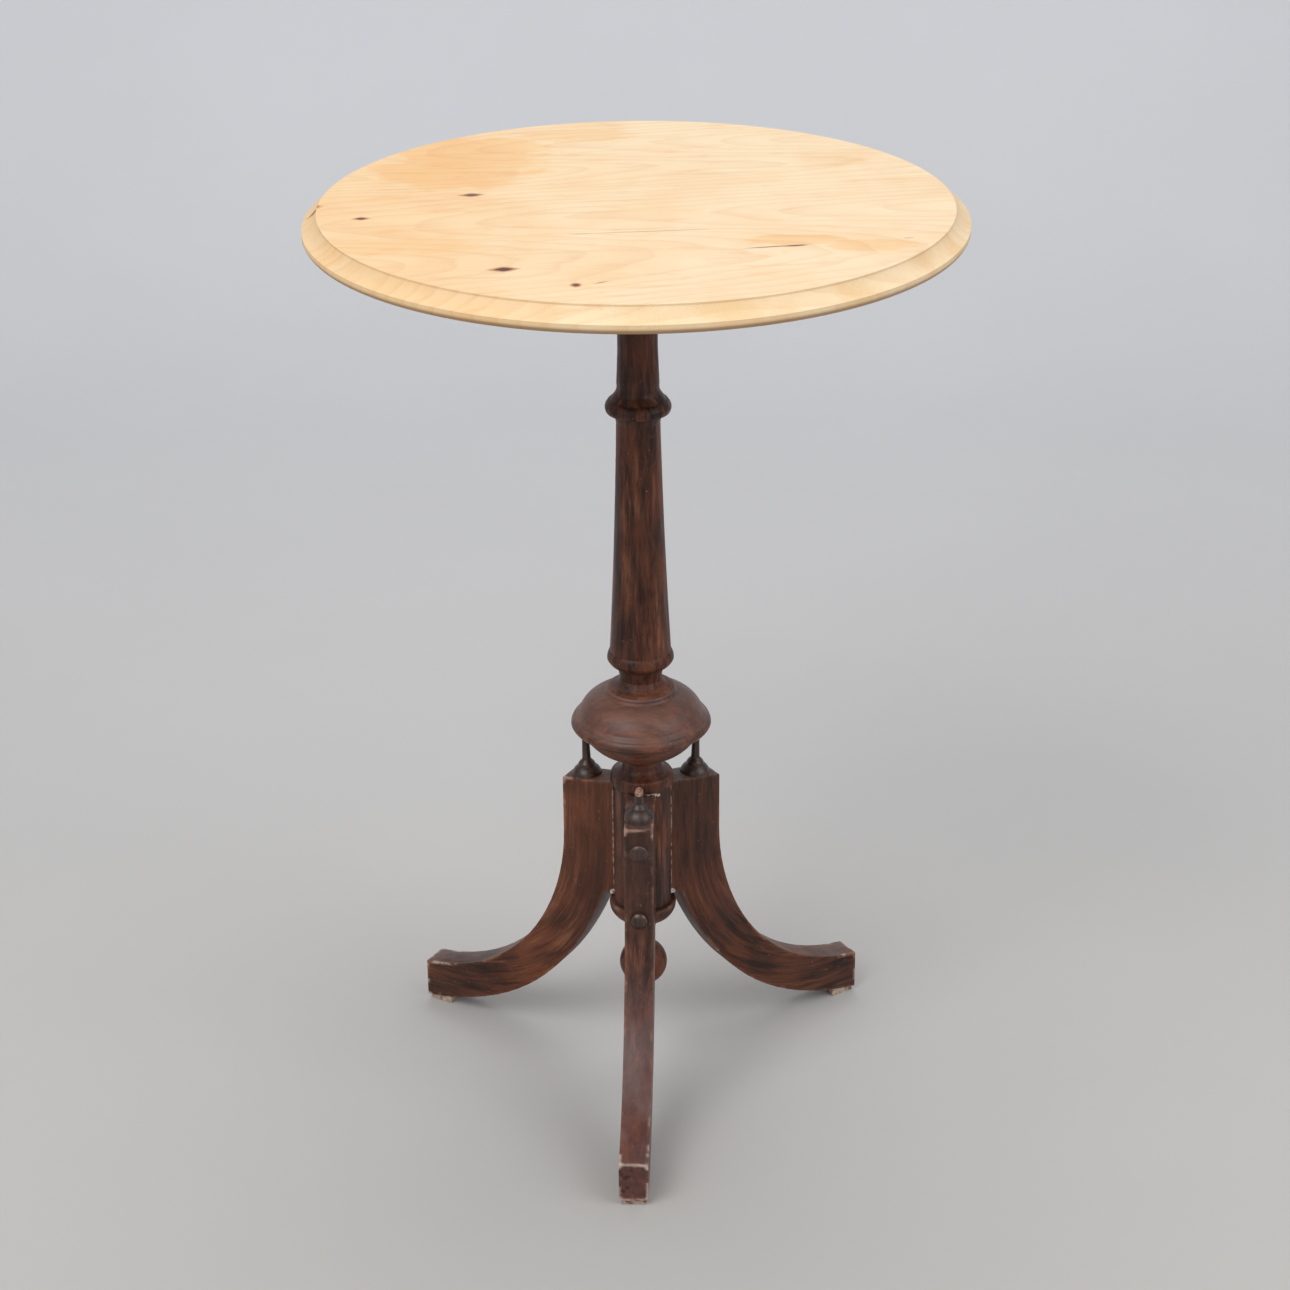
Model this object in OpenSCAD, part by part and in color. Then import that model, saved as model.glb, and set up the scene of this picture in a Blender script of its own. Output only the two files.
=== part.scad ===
// Tilt top table: a round top on a hinge block, a turned column and three swept legs.
// The origin is on the floor under the column axis, +Z up, with the front leg along -Y.
// The top tilts about X on two pins, so its +Y edge rises and it hangs upright in front.

/* [Table top] */
// Height of the top surface above the floor
table_h = 740; // [650:1:850]
// Diameter of the round top
top_d = 490; // [380:1:620]
// Thickness of the boards
top_t = 18; // [14:0.5:26]
// Width of the moulded edge, measured inwards
edge_w = 11; // [4:0.5:20]
// Fall of the moulded edge from the step to the rim
edge_drop = 9.2; // [3:0.1:12]
// Depth of the small step where the moulding starts
edge_step = 1.5; // [0.5:0.1:3]
// Hollow of the moulded slope
edge_hollow = 0.9; // [0:0.1:2]
// Rounding under the rim
edge_round = 3.6; // [1:0.1:5]
// Angle of the board joints to the hinge axis
board_turn = 5; // [0:1:30]
// Offset of the front board joint from the middle
front_seam = -70; // [-120:1:-30]
// Offset of the middle board joint
middle_seam = 45; // [0:1:70]
// Offset of the back board joint
back_seam = 127; // [90:1:170]
// Glue line between two boards
glue_gap = 0.02; // [0:0.01:0.1]

/* [Hinge block] */
// Width of the block along the hinge axis
block_w = 110; // [80:1:160]
// Height of the block
block_h = 26; // [20:0.5:40]
// From the column axis to the back face of the block
block_back = 46; // [30:1:80]
// From the column axis forward to the hinge axis
pivot_front = 45; // [30:1:80]
// Gap between the block and the resting top
rest_gap = 0.05; // [0.02:0.01:0.2]
// Gap between the block and the upright top
stop_gap = 0.1; // [0.05:0.01:0.4]

/* [Cleats and pivot pins] */
// Width of a cleat
cleat_w = 28; // [18:1:40]
// Length of a cleat
cleat_len = 380; // [300:1:460]
// Length of the sloped end of a cleat
cleat_slope = 75; // [30:1:120]
// Height of a cleat at its tips
cleat_tip = 9; // [5:0.5:14]
// Gap between a cleat and the block
cleat_gap = 0.5; // [0.2:0.1:2]
// Diameter of a pivot pin
pin_d = 8; // [5:0.5:12]
// Depth of a pivot pin in the block
pin_depth = 22; // [12:1:32]
// Diameter of the pin head
pin_head_d = 14; // [9:0.5:20]
// Thickness of the pin head
pin_head_t = 3; // [1.5:0.1:5]
// Radial play of a pin in its cleat
pin_play = 0.08; // [0.05:0.01:0.2]
// Spacing of the screws along a cleat
cleat_screw_pitch = 100; // [60:1:110]
// Shank diameter of a cleat screw
cleat_screw_d = 4.5; // [3:0.1:6]
// Length of a cleat screw
cleat_screw_len = 32; // [20:1:38]

/* [Catch] */
// Width of the sliding bolt
bolt_w = 12; // [8:0.5:18]
// Height of the sliding bolt
bolt_h = 6; // [4:0.5:9]
// Length of the sliding bolt
bolt_len = 46; // [36:1:60]
// Gap between the drawn bolt and the keeper
bolt_gap = 2; // [1.5:0.1:4]
// Travel of the bolt
bolt_travel = 10; // [6:0.5:14]
// Play around the bolt
bolt_play = 0.15; // [0.05:0.01:0.4]
// Wall of the catch case
case_wall = 2; // [1.2:0.1:3]
// Length of the catch case
case_len = 40; // [32:1:60]
// From the block to the catch case
case_gap = 12; // [8:0.5:20]
// Width of the flange of the case
flange_w = 44; // [34:1:60]
// Thickness of the flange
flange_t = 1.6; // [1:0.1:3]
// Diameter of the knob
knob_d = 11; // [8:0.5:16]
// Thickness of the keeper plate
keeper_t = 1.6; // [1:0.1:3]
// Width of the keeper plate
keeper_w = 34; // [26:1:50]
// Height of the keeper plate
keeper_h = 13; // [10:0.5:18]

/* [Column] */
// Radius of the column under the block
shaft_r = 15.3; // [12:0.1:20]
// Radius of the tenon in the block
tenon_r = 12.5; // [8:0.1:14]
// Thickness of the tenon wedge
wedge_t = 2.4; // [1.5:0.1:4]
// Depth of the kerf for the wedge
wedge_depth = 18; // [10:1:24]
// Height of the widest part of the collar
collar_z = 584; // [540:1:620]
// Largest radius of the collar
collar_r = 25.3; // [20:0.1:32]
// Column radius just under the collar
waist_r = 16.9; // [14:0.1:22]
// Column radius above the lower ring
swell_r = 24.1; // [20:0.1:28]
// Hollow of the long taper
taper_hollow = 0.8; // [0:0.1:3]
// Height of the widest part of the lower ring
low_ring_z = 372; // [366:0.5:380]
// Largest radius of the lower ring
low_ring_r = 26.3; // [22:0.1:32]
// Radius of the neck above the bulb
neck_r = 16.3; // [12:0.1:20]
// Radius of the column foot on the bulb
foot_r = 26; // [20:0.1:30]

/* [Bulb] */
// Height of the seat of the column on the bulb
bulb_top_z = 347; // [330:1:360]
// Radius of the bead round the seat
bulb_bead_r = 28; // [24:0.1:34]
// Radius where the dome meets the rim
dome_r = 49; // [40:0.5:56]
// Largest radius of the rim
rim_r = 55.7; // [48:0.1:66]
// Height of the upper edge of the rim
rim_z = 321; // [312:0.5:330]
// Height of the rim band
rim_band = 5.5; // [3:0.5:9]
// Rounding of the underside of the bulb
bowl_sag = 5; // [2:0.5:8]
// Height of the joint under the bulb
bulb_foot_z = 283; // [276:1:292]
// Radius of the stem at that joint
stem_r = 15.6; // [12:0.1:19]
// Radius of the tenon in the column foot joint
foot_tenon_r = 11; // [7:0.1:13]
// Radius of the tenon under the bulb
bulb_tenon_r = 10; // [7:0.1:12]

/* [Leg block] */
// Radius of the leg block
post_r = 23.2; // [20:0.1:30]
// Height of the underside of the leg block
post_low_z = 141; // [130:1:150]
// Largest radius of the upper ring
up_ring_r = 25.2; // [24:0.1:32]
// Height of the top of the upper ring
up_ring_z = 272; // [268:0.5:276]
// Height of the upper ring
up_ring_h = 11; // [7:0.5:13]
// Largest radius of the bottom ring
end_ring_r = 27.1; // [24:0.1:32]
// Height of the bottom ring
end_ring_h = 13; // [9:0.5:15]
// Radius of the ball under the block
ball_r = 19.5; // [14:0.1:26]
// Height of the middle of the ball
ball_z = 94; // [80:1:105]
// Radius of the neck above the ball
ball_neck_r = 9; // [8:0.1:13]
// Radius of the dowel of the ball
dowel_r = 7; // [4:0.1:7.5]

/* [Legs] */
// Turn of the front leg from its even third of the circle
front_leg_turn = -2.5; // [-4:0.5:4]
// Turn of the right leg from its even third of the circle
right_leg_turn = 2; // [-4:0.5:4]
// Thickness of a leg
leg_t = 23; // [18:0.5:30]
// From the column axis to the end of a toe
toe_r = 210; // [170:1:260]
// Height of the upper edge of a toe
toe_z = 38; // [28:0.5:50]
// Height of the sole at the end of a toe
sole_z = 4.5; // [3:0.1:8]
// From the column axis to the upright outer face
leg_face_r = 67.5; // [60:0.5:80]
// Height of the outer corner of the leg top
leg_top_z = 253.5; // [246:0.5:256]
// Rise of the leg top towards the column
leg_top_rise = 6.5; // [0:0.5:7]
// Height where the outer face starts to sweep out
leg_sweep_z = 205; // [195:1:220]
// Height of the lower end of a leg at the block
leg_low_z = 157; // [156:0.5:170]
// Length of the small shoulder at that end
leg_shoulder = 10; // [4:0.5:16]
// Thickness of a leg tenon
leg_tenon_t = 9; // [6:0.5:12]
// From the column axis to the inner end of a leg tenon
leg_tenon_in = 9; // [8:0.5:12]
// Height of the lower edge of a leg tenon
leg_tenon_low = 186; // [182:1:200]
// Height of the upper edge of a leg tenon
leg_tenon_top = 240; // [236:1:243]
// Length of a foot pad
pad_len = 21; // [16:0.5:32]
// Width of a foot pad
pad_w = 19; // [12:0.5:22]
// From the toe end to the foot pad
pad_back = 1.5; // [0:0.5:12]

/* [Leg buttons and screws] */
// Height of the upper button
high_button_z = 232; // [222:1:234]
// Height of the lower button
low_button_z = 173; // [168:1:178]
// Diameter of an upper button
high_button_d = 14.5; // [12:0.5:18]
// Diameter of a lower button
low_button_d = 13.5; // [12:0.5:18]
// How far an upper button stands proud
high_button_h = 1.8; // [1:0.1:4]
// How far a lower button stands proud
low_button_h = 3.4; // [1:0.1:6]
// Shank diameter of a leg screw
leg_screw_d = 4.8; // [3:0.1:6]

/* [Leg spindles] */
// From the widest part of the bulb in to a spindle
spindle_inset = 4.7; // [3.5:0.1:8]
// Outward lean of a spindle
spindle_lean = 2; // [0:0.5:3]
// Radius of the bell at its foot
bell_r = 11.9; // [8:0.1:14]
// Height of the bell
bell_h = 11.5; // [8:0.1:16]
// Stem radius above the bell
stem_low_r = 3.5; // [2.5:0.1:5]
// Stem radius under the bulb
stem_top_r = 2.3; // [1.5:0.1:2.6]
// Length left of the broken stem of the front spindle
stub_len = 11; // [6:0.5:30]

/* [Hidden] */
// Clearance round a glued tenon or a screw
fit = 0.05;
// Clearance between seated faces
seat = 0.02;
deck_z = table_h - top_t;
top_r = top_d / 2;
block_top = deck_z - rest_gap;
block_z = deck_z - block_h;
pivot_drop = block_h / 2;
pivot_z = deck_z - pivot_drop;
pin_r = pin_d / 2;
block_front = pivot_front + pivot_drop - stop_gap;
cleat_x = block_w / 2 + cleat_gap;
bolt_top = deck_z - seat - flange_t - bolt_play;
bolt_low = bolt_top - bolt_h;
case_low = bolt_low - bolt_play - case_wall;
case_y = block_back + case_gap;
bolt_y = block_back + bolt_gap;
knob_y = case_y + case_wall + bolt_travel + 8;
spindle_r = rim_r - spindle_inset;
flat_r = sqrt(post_r * post_r - leg_t * leg_t / 4);
high_seat_r = leg_face_r - 1;
low_seat_r = leg_face_r + 1.5;
plug_r = 5;
plug_len = 7;
head_r = 4.6;
head_t = 3.5;
pad_slope = 15 / 123;
leg_angles = [270 + front_leg_turn, 150, 30 + right_leg_turn];
$fn = 96;

// Which piece to draw

// Points of a shallow curve from p to q, bulging by sag to the left of the way.
function bow(p, q, sag, n = 6) = let (d = q - p, m = [-d[1], d[0]] / norm(d))
    [for (i = [1:n]) let (t = i / n) p + t * d + 4 * sag * t * (1 - t) * m];

// Points of a swept curve that leaves p towards a and reaches q from b.
function sweep(p, a, b, q, n = 22) = [for (i = [0:n]) let (t = i / n, s = 1 - t)
    s * s * s * p + 3 * s * s * t * a + 3 * s * t * t * b + t * t * t * q];

// Turns a list of [radius, height] points round the column axis.
module turned(points) rotate_extrude() polygon(points);

// Stands on the hinge axis direction: a shape drawn in [y, z], as wide as w, from x = 0.
module along_x(w) rotate([90, 0, 90]) linear_extrude(w) children();

// A straight round bar from the point at, along +Z.
module bar(r, len, at = [0, 0, 0]) translate(at) cylinder(h = len, r = r);

// A round bar pointing out from the column axis at the height z, from radius a to b.
module spoke(r, z, a, b) translate([a, 0, z]) rotate([0, 90, 0]) cylinder(h = b - a, r = r);

// Puts a copy on each of the three legs.
module each_leg() for (a = leg_angles) rotate([0, 0, a]) children();

// ---- Table top ----

module top_disc() turned(concat([[0, deck_z], [top_r - edge_round, deck_z]],
    bow([top_r - edge_round, deck_z], [top_r, deck_z + edge_round], -edge_round * 0.2, 5),
    [[top_r, table_h - edge_step - edge_drop]],
    bow([top_r, table_h - edge_step - edge_drop], [top_r - edge_w, table_h - edge_step],
        edge_hollow, 6),
    [[top_r - edge_w, table_h], [0, table_h]]));

// Holes in the underside for the screws of the cleats and the catch.
module top_holes() {
    cleat_screw_places() bar(cleat_screw_d / 2 + fit, cleat_screw_len + fit);
    catch_screw_places() bar(1.6 + fit, 12 + fit, [0, 0, -1]);
}

module board(from, to) color([0.93, 0.82, 0.62]) difference() {
    intersection() {
        top_disc();
        rotate([0, 0, board_turn]) translate([-top_d, from + glue_gap / 2, 0])
            cube([2 * top_d, to - from - glue_gap, 2 * table_h]);
    }
    top_holes();
}

module board_front() board(-top_d, front_seam);
module board_middle() board(front_seam, middle_seam);
module board_back() board(middle_seam, back_seam);
module board_rear() board(back_seam, top_d);

// ---- Cleats ----

module cleat_screw_places() for (x = [-1, 1], i = [-1, 0, 1])
    translate([x * (cleat_x + cleat_w / 2), i * cleat_screw_pitch, block_z + 4]) children();

module cleat_shape() polygon([[-cleat_len / 2, deck_z - seat], [-cleat_len / 2, deck_z - cleat_tip],
    [-cleat_len / 2 + cleat_slope, block_z], [cleat_len / 2 - cleat_slope, block_z],
    [cleat_len / 2, deck_z - cleat_tip], [cleat_len / 2, deck_z - seat]]);

module cleat(x) color([0.36, 0.22, 0.16]) difference() {
    translate([x, 0, 0]) along_x(cleat_w) cleat_shape();
    translate([x - 1, -pivot_front, pivot_z]) rotate([0, 90, 0])
        cylinder(h = cleat_w + 2, r = pin_r + pin_play);
    cleat_screw_places() {
        bar(cleat_screw_d / 2 + fit, block_h);
        bar(cleat_screw_d + fit, 6, [0, 0, -6]);
    }
}

module cleat_left() cleat(-cleat_x - cleat_w);
module cleat_right() cleat(cleat_x);

module cleat_screws() color([0.62, 0.6, 0.56]) cleat_screw_places() {
    bar(cleat_screw_d / 2, cleat_screw_len);
    difference() {
        bar(cleat_screw_d, 2.5, [0, 0, -2.5]);
        translate([-5, -0.5, -3.5]) cube([10, 1, 2]);
    }
}

module pivot_pin() {
    bar(pin_r, pin_depth - 1 + cleat_gap + cleat_w + pin_play);
    bar(pin_head_d / 2, pin_head_t, [0, 0, pin_depth - 1 + cleat_gap + cleat_w + pin_play]);
}

module pivot_pin_left() color([0.62, 0.6, 0.56])
    translate([-block_w / 2 + pin_depth - 1, -pivot_front, pivot_z]) rotate([0, -90, 0]) pivot_pin();

module pivot_pin_right() color([0.62, 0.6, 0.56])
    translate([block_w / 2 - pin_depth + 1, -pivot_front, pivot_z]) rotate([0, 90, 0]) pivot_pin();

// ---- Catch ----

module catch_screw_places() for (x = [-1, 1], y = [6, case_len - 6])
    translate([x * (flange_w / 2 - 5), case_y + y, deck_z]) children();

module catch_case() color([0.78, 0.62, 0.3]) difference() {
    union() {
        translate([-flange_w / 2, case_y, deck_z - seat - flange_t])
            cube([flange_w, case_len, flange_t]);
        translate([-bolt_w / 2 - bolt_play - case_wall, case_y, case_low])
            cube([bolt_w + 2 * bolt_play + 2 * case_wall, case_len, deck_z - seat - case_low]);
    }
    translate([-bolt_w / 2 - bolt_play, case_y - 1, bolt_low - bolt_play])
        cube([bolt_w + 2 * bolt_play, case_len + 1 - case_wall, bolt_h + 2 * bolt_play]);
    translate([-knob_d / 4 - bolt_play, knob_y - bolt_travel - knob_d / 4 - 2 * bolt_play, case_low - 1])
        cube([knob_d / 2 + 2 * bolt_play, bolt_travel + knob_d / 2 + 4 * bolt_play, case_wall + 2]);
    catch_screw_places() bar(1.6 + fit, 6, [0, 0, -4]);
}

module catch_screws() color([0.78, 0.62, 0.3]) catch_screw_places() {
    bar(1.6, 12, [0, 0, -1]);
    difference() {
        bar(3.2, 1.4, [0, 0, -seat * 2 - flange_t - 1.4]);
        translate([-4, -0.35, -seat * 2 - flange_t - 2.2]) cube([8, 0.7, 1.6]);
    }
    bar(1.6, 2.5, [0, 0, -2.5]);
}

module catch_bolt() color([0.78, 0.62, 0.3]) difference() {
    translate([-bolt_w / 2, bolt_y, bolt_low]) cube([bolt_w, bolt_len, bolt_h]);
    bar(knob_d / 5 + fit, bolt_h - 2, [0, knob_y, bolt_low]);
}

module catch_knob() color([0.78, 0.62, 0.3]) {
    bar(knob_d / 5, case_wall + bolt_play + bolt_h - 1.5, [0, knob_y, case_low - 0.5]);
    translate([0, knob_y, 0]) turned(concat([[0, case_low - 9]],
        bow([0, case_low - 9], [knob_d / 2, case_low - 5], -1.2, 5),
        bow([knob_d / 2, case_low - 5], [knob_d / 4, case_low - 0.5], -0.4, 4),
        [[0, case_low - 0.5]]));
}

module keeper_hole(play) translate([-bolt_w / 2 - play, 0, bolt_low - play])
    cube([bolt_w + 2 * play, 2 * bolt_travel, bolt_h + 2 * play]);

module keeper_blank(play) translate([-keeper_w / 2 - play, block_back - keeper_t - play,
    bolt_low + bolt_h / 2 - keeper_h / 2 - play])
    cube([keeper_w + 2 * play, keeper_t + play + (play > 0 ? 1 : 0), keeper_h + 2 * play]);

module keeper_screw_places() for (x = [-1, 1])
    translate([x * (bolt_w / 2 + (keeper_w - bolt_w) / 4), block_back, bolt_low + bolt_h / 2])
        rotate([90, 0, 0]) children();

module keeper_plate() color([0.78, 0.62, 0.3]) difference() {
    intersection() {
        keeper_blank(0);
        translate([-block_w, 0, 0]) cube([2 * block_w, 2 * block_w, block_top - seat]);
    }
    translate([0, block_back - keeper_t - 1, 0]) keeper_hole(2 * bolt_play);
    keeper_screw_places() bar(1.6 + fit, 10, [0, 0, -1]);
}

module keeper_screws() color([0.78, 0.62, 0.3]) keeper_screw_places() {
    bar(1.6, 14, [0, 0, -0.6]);
    difference() {
        bar(2.4, 0.7, [0, 0, -0.7 - seat]);
        translate([-4, -0.3, -1.3]) cube([8, 0.6, 0.9]);
    }
}

// ---- Hinge block ----

module hinge_block() color([0.36, 0.22, 0.16]) difference() {
    union() {
        translate([-block_w / 2, -pivot_front, block_z])
            cube([block_w, pivot_front + block_back, block_h - rest_gap]);
        translate([-block_w / 2, -block_front, block_z])
            cube([block_w, block_front - pivot_front, pivot_drop]);
        translate([-block_w / 2, -pivot_front, pivot_z]) rotate([0, 90, 0])
            cylinder(h = block_w, r = pivot_drop - stop_gap);
    }
    bar(tenon_r + fit, block_h + 2, [0, 0, block_z - 1]);
    for (s = [-1, 1]) translate([s * (block_w / 2 + 1), -pivot_front, pivot_z])
        rotate([0, -90 * s, 0]) cylinder(h = pin_depth + 1 + seat, r = pin_r + fit);
    keeper_blank(seat);
    translate([0, block_back - bolt_travel - 1, 0]) keeper_hole(3 * bolt_play);
    keeper_screw_places() bar(1.6 + fit, 14, [0, 0, 0]);
}

// ---- Column ----

module column_shaft() color([0.36, 0.22, 0.16]) difference() {
    turned(concat(
        [[0, bulb_top_z - 42], [foot_tenon_r, bulb_top_z - 42], [foot_tenon_r, bulb_top_z + seat],
            [foot_r, bulb_top_z + seat]],
        bow([foot_r, bulb_top_z + 1.5], [neck_r, bulb_top_z + 8], 2.2, 6),
        bow([neck_r + 0.3, low_ring_z - 7], [low_ring_r, low_ring_z], -1.6, 8),
        bow([low_ring_r, low_ring_z], [swell_r, low_ring_z + 7.5], -0.7, 5),
        bow([swell_r, low_ring_z + 8.5], [waist_r, collar_z - 14], taper_hollow, 12),
        bow([waist_r + 0.4, collar_z - 9.5], [collar_r - 1, collar_z - 5.5], 0.8, 6),
        bow([collar_r - 1, collar_z - 5.5], [collar_r - 0.6, collar_z + 1], -0.9, 6),
        bow([collar_r - 1.5, collar_z + 2], [collar_r - 4, collar_z + 4.5], -0.5, 4),
        bow([collar_r - 5.6, collar_z + 7], [shaft_r + 1.1, collar_z + 17], 1.4, 6),
        [[shaft_r, collar_z + 45], [shaft_r, block_z - seat], [tenon_r, block_z - seat],
            [tenon_r, block_top - seat], [0, block_top - seat]]));
    translate([-tenon_r - 1, -wedge_t / 2, block_top - wedge_depth])
        cube([2 * tenon_r + 2, wedge_t, wedge_depth + 1]);
}

module tenon_wedge() color([0.8, 0.66, 0.45]) intersection() {
    translate([-tenon_r, 0, 0]) along_x(2 * tenon_r)
        polygon([[-0.4, block_top - wedge_depth + 1], [0.4, block_top - wedge_depth + 1],
            [wedge_t / 2 - seat, block_top - seat], [seat - wedge_t / 2, block_top - seat]]);
    bar(tenon_r - seat, block_h + 2, [0, 0, block_z]);
}

// ---- Bulb ----

module bulb() color([0.36, 0.22, 0.16]) difference() {
    turned(concat(
        [[0, bulb_foot_z - 36], [bulb_tenon_r, bulb_foot_z - 36], [bulb_tenon_r, bulb_foot_z + seat],
            [stem_r, bulb_foot_z + seat]],
        bow([stem_r, bulb_foot_z + 4], [rim_r - 7.5, rim_z - rim_band - 4.5], -bowl_sag, 10),
        [[rim_r - 4.5, rim_z - rim_band - 4]],
        bow([rim_r - 3.2, rim_z - rim_band - 3], [rim_r, rim_z - rim_band + 0.5], -0.5, 4),
        bow([rim_r, rim_z - rim_band + 0.5], [rim_r - 2.2, rim_z], -0.5, 4),
        [[rim_r - 3.4, rim_z + 0.8]],
        bow([dome_r + 1.5, rim_z + 1.6], [bulb_bead_r + 1, bulb_top_z - 4.4], -4.4, 12),
        bow([bulb_bead_r - 0.6, bulb_top_z - 3.4], [bulb_bead_r - 1.2, bulb_top_z], -0.8, 4),
        [[0, bulb_top_z]]));
    bar(foot_tenon_r + fit, 44, [0, 0, bulb_top_z - 43]);
    for (a = [leg_angles[1], leg_angles[2]]) rotate([0, 0, a])
        spindle_place() bar(stem_top_r + fit, 30, [0, 0, spindle_top - 30]);
}

// ---- Leg block ----

module leg_block() color([0.36, 0.22, 0.16]) difference() {
    turned(concat(
        [[0, post_low_z], [end_ring_r - 4.6, post_low_z]],
        bow([end_ring_r - 4.6, post_low_z], [end_ring_r, post_low_z + end_ring_h - 3], -1.1, 7),
        bow([end_ring_r, post_low_z + end_ring_h - 3], [end_ring_r - 0.6, post_low_z + end_ring_h - 0.6],
            -0.3, 3),
        [[post_r, post_low_z + end_ring_h], [post_r, up_ring_z - up_ring_h]],
        bow([post_r + 0.3, up_ring_z - up_ring_h], [up_ring_r, up_ring_z - up_ring_h + 2.6], -0.4, 4),
        bow([up_ring_r, up_ring_z - up_ring_h + 2.6], [up_ring_r - 0.4, up_ring_z - 1.4], -0.25, 4),
        [[up_ring_r - 1, up_ring_z - 0.3], [up_ring_r - 2.2, up_ring_z]],
        bow([up_ring_r - 2.6, up_ring_z + 0.3], [stem_r, bulb_foot_z], 3, 9),
        [[0, bulb_foot_z]]));
    bar(bulb_tenon_r + fit, 40, [0, 0, bulb_foot_z - 37]);
    bar(dowel_r + fit, 22, [0, 0, post_low_z - 1]);
    each_leg() {
        translate([flat_r, -leg_t / 2 - seat, leg_low_z - seat])
            cube([post_r, leg_t + 2 * seat, leg_top_z + leg_top_rise - leg_low_z + 2 * seat]);
        translate([leg_tenon_in - fit, -leg_tenon_t / 2 - fit, leg_tenon_low - fit])
            cube([flat_r - leg_tenon_in + 1, leg_tenon_t + 2 * fit, leg_tenon_top - leg_tenon_low + 2 * fit]);
        for (z = [low_button_z, high_button_z]) spoke(leg_screw_d / 2 + fit, z, 7 - fit, post_r);
    }
}

module ball_finial() color([0.36, 0.22, 0.16]) turned(concat(
    [for (a = [-90:6:60]) [ball_r * cos(a), ball_z + ball_r * sin(a)]],
    [[ball_neck_r, ball_z + ball_r + 1]],
    bow([ball_neck_r, ball_z + ball_r + 1], [ball_neck_r + 4, post_low_z - 4], 1.2, 5),
    [[ball_neck_r + 4, post_low_z - seat], [dowel_r, post_low_z - seat], [dowel_r, post_low_z + 20],
        [0, post_low_z + 20]]));

// ---- Legs ----

module leg_outline() polygon(concat([[flat_r, leg_low_z]],
    sweep([flat_r + leg_shoulder, leg_low_z], [flat_r + leg_shoulder + 19, leg_low_z - 48],
        [toe_r - 123, sole_z + 123 * pad_slope], [toe_r, sole_z]),
    sweep([toe_r, toe_z], [toe_r - 94, toe_z + 8], [leg_face_r, leg_sweep_z - 74],
        [leg_face_r, leg_sweep_z]),
    [[leg_face_r, leg_top_z], [flat_r, leg_top_z + leg_top_rise]]));

module leg_blank() {
    rotate([90, 0, 0]) translate([0, 0, -leg_t / 2]) linear_extrude(leg_t) leg_outline();
    translate([leg_tenon_in, -leg_tenon_t / 2, leg_tenon_low])
        cube([flat_r - leg_tenon_in + 1, leg_tenon_t, leg_tenon_top - leg_tenon_low]);
}

module leg(a) color([0.36, 0.22, 0.16]) rotate([0, 0, a]) difference() {
    translate([seat, 0, 0]) leg_blank();
    for (b = [[high_button_z, high_seat_r, high_button_d], [low_button_z, low_seat_r, low_button_d]]) {
        spoke(leg_screw_d / 2 + fit, b[0], 0, toe_r);
        spoke(plug_r + fit, b[0], b[1] - plug_len - head_t - 2 * seat, toe_r);
        spoke(b[2] / 2 + fit, b[0], b[1], toe_r);
    }
    spindle_place() bar(3 + fit, 8 + fit, [0, 0, spindle_foot - 8]);
}

module leg_front() leg(leg_angles[0]);
module leg_left() leg(leg_angles[1]);
module leg_right() leg(leg_angles[2]);

module leg_screws() color([0.62, 0.6, 0.56]) each_leg()
    for (b = [[high_button_z, high_seat_r], [low_button_z, low_seat_r]]) difference() {
        union() {
            spoke(leg_screw_d / 2, b[0], 7, b[1] - plug_len - head_t / 2);
            spoke(head_r, b[0], b[1] - plug_len - head_t, b[1] - plug_len - seat);
        }
        translate([b[1] - plug_len - 1, -0.6, b[0] - 6]) cube([3, 1.2, 12]);
    }

// A turned button with its plug, pointing out along +Z, proud by h above a seat set in by inset.
module button(d, inset, h) {
    bar(plug_r, plug_len + 1, [0, 0, -plug_len]);
    turned(concat([[0, seat], [d / 2, seat], [d / 2, inset]],
        bow([d / 2, inset], [0, inset + h], -d / 12, 8)));
}

module upper_buttons() color([0.2, 0.13, 0.1]) each_leg()
    translate([high_seat_r, 0, high_button_z]) rotate([0, 90, 0])
        button(high_button_d, 1.4, high_button_h - 0.4);

module lower_buttons() color([0.2, 0.13, 0.1]) each_leg()
    translate([low_seat_r, 0, low_button_z]) rotate([0, 90, 0])
        button(low_button_d, 3, low_button_h - 1.2);

// ---- Leg spindles ----

spindle_foot = leg_top_z + leg_top_rise * (leg_face_r - spindle_r + bell_r) / (leg_face_r - flat_r);
spindle_top = rim_z - rim_band + 3;
bell_groove_z = spindle_foot + bell_h * 0.58;
bell_groove_r = stem_low_r + (bell_r - stem_low_r) * 0.42;

// Along the leaning axis of a spindle, which crosses its own radius at the leg top.
module spindle_place() translate([spindle_r, 0, spindle_foot]) rotate([0, spindle_lean, 0])
    translate([0, 0, -spindle_foot]) children();

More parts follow.
